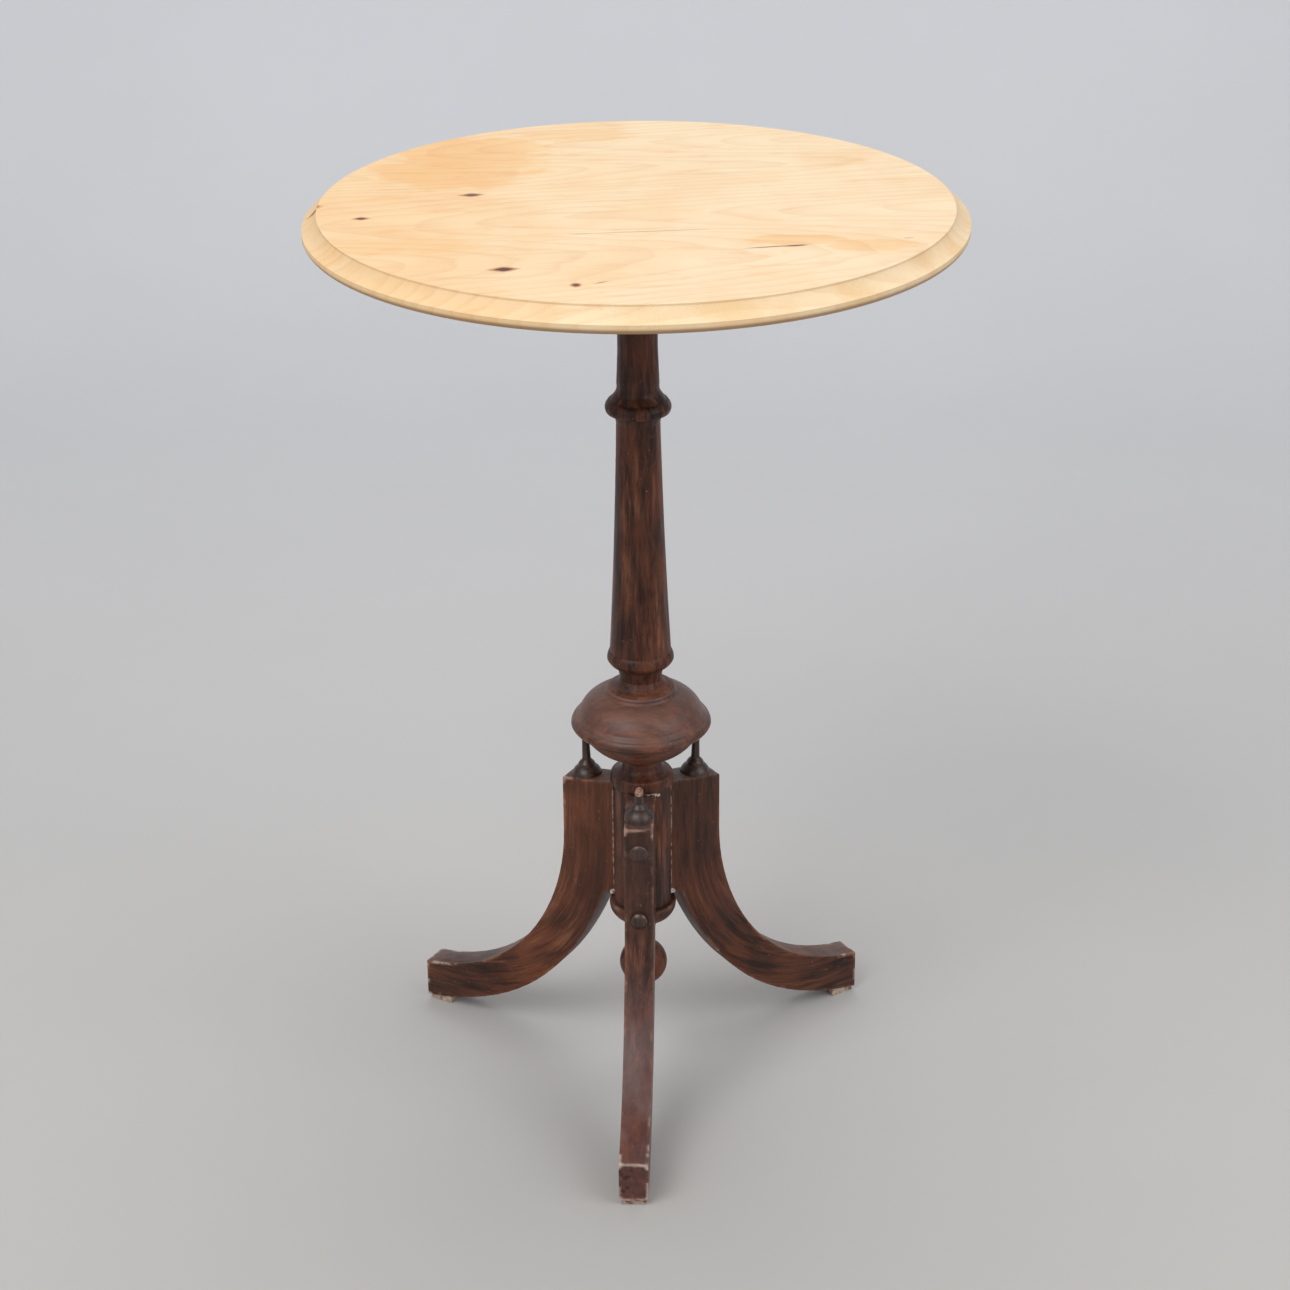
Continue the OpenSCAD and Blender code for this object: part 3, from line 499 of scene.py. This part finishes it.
def stainedWood(name, light, red, wear, turn=(0, math.pi / 2, 0), spread=150.0, stretch=10.0,
                shift=(0, 0, 0), scuff=0.35, dust=0.12, sweep=False, chips=(), tints=()):
    material, tree, shader, place = newMaterial(name)
    laid = addNode(tree, "ShaderNodeMapping", {"Vector": place, "Rotation": turn,
                                               "Location": shift}).outputs[0]
    onLeg = laid if sweep else place
    if sweep:
        laid = useGroup(tree, legSweepPath, {"Vector": laid})["Vector"]
    grain = useGroup(tree, woodGrain, {"Vector": laid, "Spread": spread, "Stretch": stretch,
                                       "Warp": stainLook["warp"]})
    edges = useGroup(tree, edgeWearAndCorners, {"Vector": place, "Reach": stainLook["wearReach"], "Amount": wear})
    marks = useGroup(tree, scuffs, {"Vector": place, "Scale": stainLook["scuffScale"], "Amount": scuff})
    film = useGroup(tree, dustFilm, {"Vector": place, "Amount": dust})
    colour = blend(tree, fade(tree, grain["Bands"], *stainLook["midBands"]), stainLook["dark"],
                   stainLook["mid"])
    reddish = times(tree, fade(tree, grain["Clouds"], *stainLook["redClouds"]), red)
    colour = blend(tree, reddish, colour, stainLook["red"])
    liftCloud = fade(tree, noise(tree, laid, *stainLook["liftNoise"]), *stainLook["lift"])
    lift = times(tree, fade(tree, grain["Bands"], *stainLook["lightBands"]), liftCloud)
    colour = blend(tree, times(tree, lift, light), colour, stainLook["light"])
    colour = blend(tree, fade(tree, grain["Fibres"], *stainLook["darkFibres"]), colour, stainLook["dark"])
    colour = blend(tree, fade(tree, grain["Fibres"], *stainLook["lightFibres"]), colour, stainLook["light"])
    # darker and lighter streaks of old stain
    streakPlace = vecCalc(tree, "MULTIPLY", laid, stainLook["streakStretch"])
    streak = noise(tree, streakPlace, *stainLook["streakNoise"])
    darker = fade(tree, streak, *stainLook["darkStreaks"])
    colour = blend(tree, darker, colour, stainLook["streakDark"], "MULTIPLY")
    lighter = fade(tree, streak, *stainLook["lightStreaks"])
    colour = blend(tree, lighter, colour, stainLook["streakLight"], "MULTIPLY")
    upward = split(tree, place)[2]
    for tint in tints:
        reach = fade(tree, upward, tint["start"], tint["full"], 0.0, tint["amount"])
        colour = blend(tree, reach, colour, tint["colour"])
    # painted shade: the corner mask darkens the inner corners and creases
    colour = blend(tree, times(tree, edges["Corner"], stainLook["cornerAmount"]), colour, stainLook["dark"])
    colour = blend(tree, marks["Marks"], colour, stainLook["light"])
    chipGate = fade(tree, noise(tree, place, *stainLook["chipNoise"]), *stainLook["chips"])
    chipped = times(tree, edges["Edge"], chipGate)
    bareness = fade(tree, noise(tree, place, *stainLook["bareNoise"]), *stainLook["bareWood"])
    colour = blend(tree, chipped, colour, blend(tree, bareness, stainLook["light"], stainLook["bare"]))
    specks = fade(tree, noise(tree, place, *stainLook["speckNoise"]), *stainLook["specks"])
    colour = blend(tree, specks, colour, stainLook["light"])
    colour = blend(tree, film["Film"], colour, stainLook["dust"])
    # single chips, laid out across and up
    around = split(tree, onLeg)
    chipPlace = addNode(tree, "ShaderNodeCombineXYZ", {0: around[0], 1: around[2]}).outputs[0]
    for chip in chips:
        spot = useGroup(tree, ovalSpot, {"Vector": chipPlace, "Centre": chip["at"], "Size": chip["size"],
                                         "Turn": 0.0, "Ragged": chip["ragged"],
                                         "Soft": stainLook["chipSoft"]})
        if chip.get("onEdge"):
            ragged = noise(tree, place, *stainLook["edgeChipNoise"])
            gate = times(tree, fade(tree, ragged, *stainLook["edgeChipGate"]), edges["Edge"])
        else:
            speckle = noise(tree, place, chip["breakup"], *stainLook["chipGrain"])
            gate = fade(tree, speckle, *stainLook["chipGate"])
        shown = times(tree, times(tree, spot["Mask"], gate), chip.get("amount", stainLook["chipAmount"]))
        colour = blend(tree, shown, colour, chip["colour"])
    rough = plus(tree, fade(tree, grain["Clouds"], *stainLook["roughness"]),
                 times(tree, marks["Marks"], stainLook["scuffRoughness"]))
    height = calc(tree, "SUBTRACT", times(tree, grain["Fibres"], stainLook["fibreBump"]),
                  times(tree, marks["Marks"], stainLook["scuffBump"]))
    height = plus(tree, height, times(tree, streak, stainLook["streakBump"]))
    linkShader(tree, shader, colour, rough, height, stainLook["bumpDepth"])
    shader.inputs["Specular IOR Level"].default_value = stainLook["gloss"]
    return material


# small turned parts stained nearly black
blackLook = {
    "deep": (0.022, 0.012, 0.009, 1),
    "brown": (0.062, 0.029, 0.020, 1),
    "worn": (0.15, 0.062, 0.04, 1),
    "edge": (0.17, 0.09, 0.065, 1),
    "dust": (0.24, 0.2, 0.19, 1),
    "cutPale": (0.34, 0.19, 0.14, 1),
    "cutDeep": (0.16, 0.075, 0.05, 1),
    "grain": {"Spread": 260.0, "Stretch": 8.0, "Warp": 0.003},
    "wornNoise": (190.0, 3.0),
    "cutNoise": (500.0, 2.0),
    "cutFacing": (0.45, 0.6),
    "cutSoft": 0.001,
    "brownBands": (0.35, 0.7),
    "wornGate": (0.5, 0.7),
    "splinters": (0.4, 0.6),
    "edges": {"Reach": 0.002, "Amount": 0.75},
    "edgeAmount": 0.6,
    "dustAmount": 0.15,
    "roughness": (0.3, 0.7, 0.26, 0.4),
    "bumpDepth": 0.00015,
}


def blackWood(name, worn=0.3, shift=(0, 0, 0), cutAbove=None):
    material, tree, shader, place = newMaterial(name)
    laid = addNode(tree, "ShaderNodeMapping", {"Vector": place, "Rotation": (0, math.pi / 2, 0),
                                               "Location": shift}).outputs[0]
    grain = useGroup(tree, woodGrain, {"Vector": laid} | blackLook["grain"])
    edges = useGroup(tree, edgeWearAndCorners, {"Vector": place} | blackLook["edges"])
    film = useGroup(tree, dustFilm, {"Vector": place, "Amount": blackLook["dustAmount"]})
    brown = fade(tree, grain["Bands"], *blackLook["brownBands"])
    colour = blend(tree, brown, blackLook["deep"], blackLook["brown"])
    wornGate = fade(tree, noise(tree, place, *blackLook["wornNoise"]), *blackLook["wornGate"])
    rubbed = times(tree, wornGate, worn)
    colour = blend(tree, rubbed, colour, blackLook["worn"])
    colour = blend(tree, times(tree, edges["Edge"], blackLook["edgeAmount"]), colour, blackLook["edge"])
    colour = blend(tree, film["Film"], colour, blackLook["dust"])
    if cutAbove is not None:
        # bare wood where the stem is broken off
        facing = fade(tree, split(tree, surfaceNormal(tree))[2], *blackLook["cutFacing"])
        high = fade(tree, split(tree, place)[2], cutAbove, cutAbove + blackLook["cutSoft"])
        splinter = fade(tree, noise(tree, place, *blackLook["cutNoise"]), *blackLook["splinters"])
        cutColour = blend(tree, splinter, blackLook["cutPale"], blackLook["cutDeep"])
        colour = blend(tree, times(tree, facing, high), colour, cutColour)
    rough = fade(tree, grain["Clouds"], *blackLook["roughness"])
    linkShader(tree, shader, colour, rough, grain["Fibres"], blackLook["bumpDepth"])
    return material


# unstained wood with grime
rawLook = {
    "grain": {"Spread": 300.0, "Stretch": 8.0, "Warp": 0.002},
    "deepBands": (0.35, 0.65),
    "grimeNoise": (130.0, 4.0, 0.65),
    "grime": (0.5, 0.62, 0.0, 0.8),
    "roughness": (0.3, 0.7, 0.6, 0.8),
    "bumpDepth": 0.0003,
}


def rawWood(name, pale, deep, grime):
    material, tree, shader, place = newMaterial(name)
    grain = useGroup(tree, woodGrain, {"Vector": place} | rawLook["grain"])
    colour = blend(tree, fade(tree, grain["Bands"], *rawLook["deepBands"]), pale, deep)
    dirt = fade(tree, noise(tree, place, *rawLook["grimeNoise"]), *rawLook["grime"])
    colour = blend(tree, dirt, colour, grime)
    rough = fade(tree, grain["Fibres"], *rawLook["roughness"])
    linkShader(tree, shader, colour, rough, grain["Fibres"], rawLook["bumpDepth"])
    return material


# brass and steel, tarnished except where rubbed
metalLook = {
    "edges": {"Reach": 0.0015, "Amount": 0.9},
    "scuffs": {"Scale": 160.0, "Amount": 0.5},
    "cloudNoise": (140.0, 4.0, 0.6),
    "cloud": (0.4, 0.65),
    "cornerAmount": 0.6,
    "bumpDepth": 0.00005,
}


def agedMetal(name, bright, tarnish, roughLow, roughHigh):
    material, tree, shader, place = newMaterial(name)
    edges = useGroup(tree, edgeWearAndCorners, {"Vector": place} | metalLook["edges"])
    marks = useGroup(tree, scuffs, {"Vector": place} | metalLook["scuffs"])
    cloud = fade(tree, noise(tree, place, *metalLook["cloudNoise"]), *metalLook["cloud"])
    colour = blend(tree, cloud, bright, tarnish)
    colour = blend(tree, times(tree, edges["Corner"], metalLook["cornerAmount"]), colour, tarnish)
    colour = blend(tree, calc(tree, "MAXIMUM", edges["Edge"], marks["Marks"]), colour, bright)
    rough = fade(tree, cloud, 0.0, 1.0, roughLow, roughHigh)
    linkShader(tree, shader, colour, rough, marks["Marks"], metalLook["bumpDepth"])
    shader.inputs["Metallic"].default_value = 1.0
    return material


# knots, cracks, seams and pale patches on the top, in metres from its middle
frontKnots = [
    {"at": (-0.091, -0.155, 0), "size": (0.0085, 0.0052, 1), "push": 0.010, "halo": 0.85, "dark": 1.0},
    {"at": (-0.041, -0.191, 0), "size": (0.0032, 0.0040, 1), "push": 0.008, "halo": 0.9, "dark": 0.85,
     "lens": 0.3},
    {"at": (-0.024, -0.186, 0), "size": (0.0050, 0.0008, 1), "push": 0.0, "halo": 0.8, "dark": 0.5,
     "turn": 0.5},
]
middleKnots = [
    {"at": (-0.122, 0.026, 0), "size": (0.0075, 0.0045, 1), "push": 0.007, "halo": 0.8, "dark": 0.8},
    {"at": (-0.199, -0.032, 0), "size": (0.0055, 0.0036, 1), "push": 0.005, "halo": 0.75, "dark": 0.9},
    {"at": (-0.236, -0.001, 0), "size": (0.005, 0.006, 1), "push": 0.004, "halo": 0.5, "dark": 0.7},
]
crackTurn = math.atan2(0.008, 0.045)
seamTurn = 0.087
frontMarks = [
    {"at": (0.094, -0.109, 0), "size": (0.025, 0.0016, 1), "turn": crackTurn, "depth": 0.85,
     "colour": (0.16, 0.05, 0.02, 1)},
    {"at": (0.112, -0.1065, 0), "size": (0.012, 0.0028, 1), "turn": crackTurn, "depth": 0.9,
     "colour": (0.20, 0.06, 0.03, 1)},
    {"at": (0.192, -0.091, 0), "size": (0.006, 0.0012, 1), "turn": 0.2, "depth": 0.6},
    {"at": (-0.040, -0.0738, 0), "size": (0.012, 0.0014, 1), "turn": seamTurn, "depth": 0.9},
    {"at": (0.010, -0.0694, 0), "size": (0.070, 0.0010, 1), "turn": seamTurn, "depth": 0.85},
]
middleMarks = [
    {"at": (0.010, -0.0694, 0), "size": (0.070, 0.0008, 1), "turn": seamTurn, "depth": 0.6},
]
frontPatches = [
    {"at": (0.112, -0.092, 0), "size": (0.040, 0.013, 1), "depth": 0.9},
    {"at": (0.165, -0.107, 0), "size": (0.036, 0.015, 1), "depth": 0.9},
    {"at": (-0.17, -0.10, 0), "size": (0.070, 0.022, 1), "depth": 0.5},
]
backPatches = [
    {"at": (-0.135, 0.105, 0), "size": (0.075, 0.070, 1), "depth": 0.9},
]
rearPatches = [
    {"at": (-0.125, 0.145, 0), "size": (0.065, 0.045, 1), "depth": 0.9},
    {"at": (-0.045, 0.190, 0), "size": (0.050, 0.020, 1), "depth": 0.6},
]

# chips on the post and the legs, in metres across or out, and up
postChips = [
    {"at": (0.0085, 0.2585, 0), "size": (0.0065, 0.0032, 1), "ragged": 0.8, "breakup": 300.0,
     "colour": (0.66, 0.62, 0.56, 1)},
    {"at": (0.006, 0.2615, 0), "size": (0.012, 0.0009, 1), "ragged": 0.8, "breakup": 200.0,
     "colour": (0.60, 0.52, 0.44, 1)},
]
legChips = [
    {"at": (0.2110, 0.022, 0), "size": (0.0022, 0.030, 1), "ragged": 0.3, "breakup": 60.0,
     "colour": (0.024, 0.010, 0.008, 1), "amount": 0.8},
    {"at": (0.0205, 0.212, 0), "size": (0.0007, 0.055, 1), "ragged": 0.4, "breakup": 170.0,
     "colour": (0.50, 0.43, 0.37, 1), "amount": 0.55},
    {"at": (0.0215, 0.158, 0), "size": (0.0030, 0.0040, 1), "ragged": 0.8, "breakup": 300.0,
     "colour": (0.68, 0.63, 0.58, 1)},
    {"onEdge": True, "at": (0.2000, 0.0375, 0), "size": (0.0300, 0.0046, 1), "ragged": 1.2,
     "colour": (0.62, 0.46, 0.38, 1)},
    {"onEdge": True, "at": (0.2080, 0.0100, 0), "size": (0.0120, 0.0120, 1), "ragged": 1.3,
     "colour": (0.56, 0.42, 0.35, 1)},
    {"onEdge": True, "at": (0.0660, 0.2520, 0), "size": (0.0100, 0.0050, 1), "ragged": 1.2,
     "colour": (0.46, 0.27, 0.21, 1)},
]

# tints by height: none at start, and the full amount at full
bulbTints = [
    {"start": 0.312, "full": 0.330, "amount": 0.30, "colour": (0.26, 0.13, 0.10, 1)},
]
legTonesAndPaintedLight = {
    "leg_front": {"light": 0.6, "red": 0.8, "tints": [
        # painted sheen: the lower part of the front leg is tinted a greyish purple-brown for the light it
        # reflects
        {"start": 0.15, "full": 0.05, "amount": 0.45, "colour": (0.15, 0.058, 0.052, 1)},
        # painted shade: the front leg darkens towards its top
        {"start": 0.150, "full": 0.195, "amount": 0.55, "colour": (0.026, 0.011, 0.009, 1)},
    ]},
    "leg_left": {"light": 0.85, "red": 1.0, "tints": [
        {"start": 0.0, "full": 0.20, "amount": 0.28, "colour": (0.190, 0.060, 0.026, 1)},
    ]},
    "leg_right": {"light": 0.45, "red": 0.6, "tints": [
        {"start": 0.08, "full": 0.20, "amount": 0.35, "colour": (0.034, 0.014, 0.010, 1)},
    ]},
}
legTurns = {"leg_front": math.radians(267.5), "leg_left": math.radians(150), "leg_right": math.radians(32)}
# how far the grain is moved along from one leg to the next
legGrainStep = 0.3

looks = {
    "board_front": boardWood("boardWoodFront", (0.3, 0.0, 0.1),
                             {"at": (0.05, 0.13, 0), "width": 0.0075, "depth": 0.03, "dip": 0.16},
                             frontKnots, frontPatches, frontMarks),
    "board_middle": boardWood("boardWoodMiddle", (1.7, 0.0, 0.7),
                              {"at": (-1.7, 0.035, -0.7), "width": 0.0085, "depth": 0.045, "dip": -0.12},
                              middleKnots, (), middleMarks),
    "board_back": boardWood("boardWoodBack", (3.1, 0.0, 1.9),
                            {"at": (-3.1, -0.09, -1.9), "width": 0.007, "depth": 0.035, "dip": 0.1},
                            (), backPatches),
    "board_rear": boardWood("boardWoodRear", (4.4, 0.0, 2.6),
                            {"at": (-4.4, -0.16, -2.6), "width": 0.008, "depth": 0.04, "dip": -0.14},
                            (), rearPatches),
    "frame": stainedWood("frameWood", turn=(0, 0, math.pi / 2), light=0.25, red=0.3, wear=0.5, dust=0.0),
    "block": stainedWood("blockWood", turn=(0, 0, 0), light=0.25, red=0.3, wear=0.5, dust=0.0),
    "column": stainedWood("columnStain", light=0.75, red=0.6, wear=0.7, scuff=0.4, dust=0.05),
    "bulb": stainedWood("bulbStain", turn=(0, 0, 0.15), spread=120.0, stretch=9.0, light=0.95, red=0.85,
                        wear=0.7, scuff=1.0, dust=0.18, tints=bulbTints),
    "post": stainedWood("postStain", shift=(0.4, 0, 0), light=0.75, red=0.7, wear=0.9, chips=postChips),
    "ball": stainedWood("ballStain", shift=(0.9, 0, 0), light=0.7, red=0.8, wear=0.8),
    "black": blackWood("blackWood"),
    "blackCut": blackWood("blackWoodCut", cutAbove=0.273),
    "blackWorn": blackWood("blackWoodWorn", worn=0.8, shift=(0.3, 0, 0)),
    "wedge": rawWood("wedgeWood", (0.62, 0.42, 0.22, 1), (0.48, 0.30, 0.14, 1), (0.25, 0.15, 0.08, 1)),
    "pad": rawWood("padWood", (0.60, 0.48, 0.38, 1), (0.42, 0.29, 0.21, 1), (0.12, 0.06, 0.045, 1)),
    "brass": agedMetal("agedBrass", (0.72, 0.52, 0.22, 1), (0.36, 0.24, 0.10, 1), 0.28, 0.5),
    "steel": agedMetal("dullSteel", (0.50, 0.49, 0.47, 1), (0.24, 0.21, 0.19, 1), 0.3, 0.55),
}
for index, (legName, turn) in enumerate(legTurns.items()):
    looks[legName] = stainedWood("stain_" + legName, turn=(0, 0, -turn), spread=130.0, stretch=9.0,
                                 shift=(0, legGrainStep * index, 0), wear=0.95, scuff=0.45, dust=0.3,
                                 sweep=True, chips=legChips, **legTonesAndPaintedLight[legName])
# a thin polish on the front leg and the bulb
polish = {"Coat Weight": 0.22, "Coat Roughness": 0.38}
for polished in ("leg_front", "bulb"):
    for key, value in polish.items():
        looks[polished].node_tree.nodes["Principled BSDF"].inputs[key].default_value = value
print("materials built")


# pieces
def setLook(obj, material):
    obj.data.materials.clear()
    obj.data.materials.append(material)


# metres within which points are welded, and the angles of flat faces and of edges to ease
meshSettings = {"weld": 0.000002, "flat": math.radians(0.5), "bevelAngle": math.radians(35)}


def copySolid(nodeName, pieceName, material, body, slotName, bevel=0.0, segments=2, smoothAngle=35):
    # a welded copy of a solid, with eased edges and smooth turned faces
    source = cadNodes[nodeName]
    bpy.ops.object.select_all(action="DESELECT")
    mesh = source.data.copy()
    piece = bpy.data.objects.new(pieceName, mesh)
    scene.collection.objects.link(piece)
    piece.matrix_world = Matrix.Identity(4)
    bpy.context.view_layer.objects.active = piece
    piece.select_set(True)
    bpy.ops.mesh.customdata_custom_splitnormals_clear()
    bpy.ops.object.mode_set(mode="EDIT")
    bpy.ops.mesh.select_all(action="SELECT")
    bpy.ops.mesh.remove_doubles(threshold=meshSettings["weld"])
    if bevel > 0:
        bpy.ops.mesh.dissolve_limited(angle_limit=meshSettings["flat"])
    bpy.ops.object.mode_set(mode="OBJECT")
    if bevel > 0:
        easing = piece.modifiers.new("easing", "BEVEL")
        easing.width = bevel
        easing.segments = segments
        easing.limit_method = "ANGLE"
        easing.angle_limit = meshSettings["bevelAngle"]
        easing.harden_normals = False
        bpy.ops.object.modifier_apply(modifier="easing")
    bpy.ops.object.shade_smooth_by_angle(angle=math.radians(smoothAngle))
    setLook(piece, material)
    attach(piece, body)
    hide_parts(nodeName)
    piece.select_set(False)


boardSettings = {"smoothAngle": 20}
for boardName in ("board_front", "board_middle", "board_back", "board_rear"):
    copySolid(boardName, boardName + "_wood", looks[boardName], "top", "board_wood", **boardSettings)
print("boards done")

turnedSettings = {"smoothAngle": 14}
for nodeName, look in (("column_shaft", "column"), ("bulb", "bulb"), ("leg_block", "post"),
                       ("ball_finial", "ball")):
    copySolid(nodeName, nodeName + "_turned", looks[look], "pedestal", "stained_wood", **turnedSettings)

legSettings = {"bevel": 0.0015, "segments": 3}
for legName in legTurns:
    copySolid(legName, legName + "_sawn", looks[legName], "pedestal", "stained_wood", **legSettings)

smallTurnedSettings = {"smoothAngle": 40}
for nodeName, look in (("spindle_front", "blackCut"), ("spindle_left", "black"), ("spindle_right", "black"),
                       ("upper_buttons", "black"), ("lower_buttons", "blackWorn")):
    copySolid(nodeName, nodeName + "_turned", looks[look], "pedestal", "black_wood", **smallTurnedSettings)

padSettings = {"bevel": 0.0006}
for nodeName in ("foot_pad_front", "foot_pad_left", "foot_pad_right"):
    copySolid(nodeName, nodeName + "_worn", looks["pad"], "pedestal", "pad_wood", **padSettings)

frameSettings = {"bevel": 0.0008}
for nodeName, body, look in (("cleat_left", "top", "frame"), ("cleat_right", "top", "frame"),
                             ("hinge_block", "pedestal", "block")):
    copySolid(nodeName, nodeName + "_sawn", looks[look], body, "frame_wood", **frameSettings)
print("pedestal and frame done")

for nodeName in ("cleat_screws", "leg_screws", "pivot_pin_left", "pivot_pin_right"):
    setLook(cadNodes[nodeName], looks["steel"])
for nodeName in ("catch_case", "catch_screws", "catch_bolt", "catch_knob", "keeper_plate", "keeper_screws"):
    setLook(cadNodes[nodeName], looks["brass"])
setLook(cadNodes["tenon_wedge"], looks["wedge"])


# camera, floor and light
cameraSettings = {"place": (0.0011, -2.0477, 1.3420), "down": 0.43824, "roll": 0.00893, "yaw": -0.00123,
                  "lens": 80.28, "sensor": 36.0, "farthest": 50.0}
cameraData = bpy.data.cameras.new("tableCamera")
cameraData.lens = cameraSettings["lens"]
cameraData.sensor_width = cameraSettings["sensor"]
cameraData.clip_end = cameraSettings["farthest"]
camera = bpy.data.objects.new("tableCamera", cameraData)
scene.collection.objects.link(camera)
yawTurn = Matrix.Rotation(cameraSettings["yaw"], 4, "Z")
downTurn = Matrix.Rotation(math.pi / 2 - cameraSettings["down"], 4, "X")
rollTurn = Matrix.Rotation(-cameraSettings["roll"], 4, "Z")
camera.matrix_world = Matrix.Translation(cameraSettings["place"]) @ (yawTurn @ downTurn @ rollTurn)
scene.camera = camera

# metres, colours and noise of the floor and wall
stageSettings = {
    "wallAt": 2.6,
    "wallTop": 9.0,
    "bend": 1.1,
    "bendSteps": 16,
    "front": -30.0,
    "halfWidth": 25.0,
    "floor": (0.490, 0.472, 0.440, 1),
    "wall": (0.628, 0.634, 0.654, 1),
    "cloud": (0.30, 0.29, 0.28, 1),
    "cloudNoise": (2.2, 5.0, 0.6),
    "cloudAmount": 0.05,
    "roughness": 0.75,
    # the wall's colour comes in by distance, with each metre of height counting for more
    "blendRise": 1.2,
    "blendAt": (-1.4, 3.2),
    "cloudGate": (0.3, 0.7),
}


def makeStage():
    # a floor that curves up into a wall behind the table
    bpy.ops.object.select_all(action="DESELECT")
    bpy.ops.mesh.primitive_plane_add(size=1.0, location=(0, 0, 0))
    floor = bpy.context.active_object
    floor.name = "studioSweep"
    mesh = floor.data
    bend = stageSettings["bend"]
    steps = stageSettings["bendSteps"]
    flatEnd = stageSettings["wallAt"] - bend
    line = [(stageSettings["front"], 0.0), (flatEnd, 0.0)]
    for step in range(1, steps + 1):
        angle = math.pi / 2 * step / steps
        line.append((flatEnd + bend * math.sin(angle), bend * (1 - math.cos(angle))))
    line.append((stageSettings["wallAt"], stageSettings["wallTop"]))
    halfWidth = stageSettings["halfWidth"]
    verts = [(x, y, z) for y, z in line for x in (-halfWidth, halfWidth)]
    faces = [(2 * i, 2 * i + 1, 2 * i + 3, 2 * i + 2) for i in range(len(line) - 1)]
    mesh.clear_geometry()
    mesh.from_pydata(verts, [], faces)
    bpy.ops.object.shade_smooth()
    material, tree, shader, place = newMaterial("studioPaint")
    parts = split(tree, place)
    distance = plus(tree, parts[1], times(tree, parts[2], stageSettings["blendRise"]))
    back = fade(tree, distance, *stageSettings["blendAt"])
    colour = blend(tree, back, stageSettings["floor"], stageSettings["wall"])
    cloud = fade(tree, noise(tree, place, *stageSettings["cloudNoise"]), *stageSettings["cloudGate"])
    colour = blend(tree, times(tree, cloud, stageSettings["cloudAmount"]), colour, stageSettings["cloud"])
    tree.links.new(colour, shader.inputs["Base Color"])
    shader.inputs["Roughness"].default_value = stageSettings["roughness"]
    setLook(floor, material)


makeStage()

lampSettings = [
    {"name": "keyLamp", "at": (-1.6, -1.9, 3.0), "aim": (0, 0, 0.5), "size": 2.2, "power": 58},
    {"name": "fillLamp", "at": (2.4, -1.4, 2.2), "aim": (0, 0, 0.4), "size": 2.2, "power": 28},
    {"name": "skyLamp", "at": (0.2, 1.0, 3.6), "aim": (0, 0.2, 0), "size": 2.6, "power": 34},
]
for lamp in lampSettings:
    lampData = bpy.data.lights.new(lamp["name"], "AREA")
    lampData.shape = "SQUARE"
    lampData.size = lamp["size"]
    lampData.energy = lamp["power"]
    lampObject = bpy.data.objects.new(lamp["name"], lampData)
    scene.collection.objects.link(lampObject)
    lampObject.location = lamp["at"]
    beam = Vector(lamp["aim"]) - Vector(lamp["at"])
    lampObject.rotation_euler = beam.to_track_quat("-Z", "Y").to_euler()

worldSettings = {"Color": (0.93, 0.95, 1.0, 1), "Strength": 0.55}
world = bpy.data.worlds.new("studioWorld")
scene.world = world
world.use_nodes = True
for key, value in worldSettings.items():
    world.node_tree.nodes["Background"].inputs[key].default_value = value
print("camera, floor and light done")
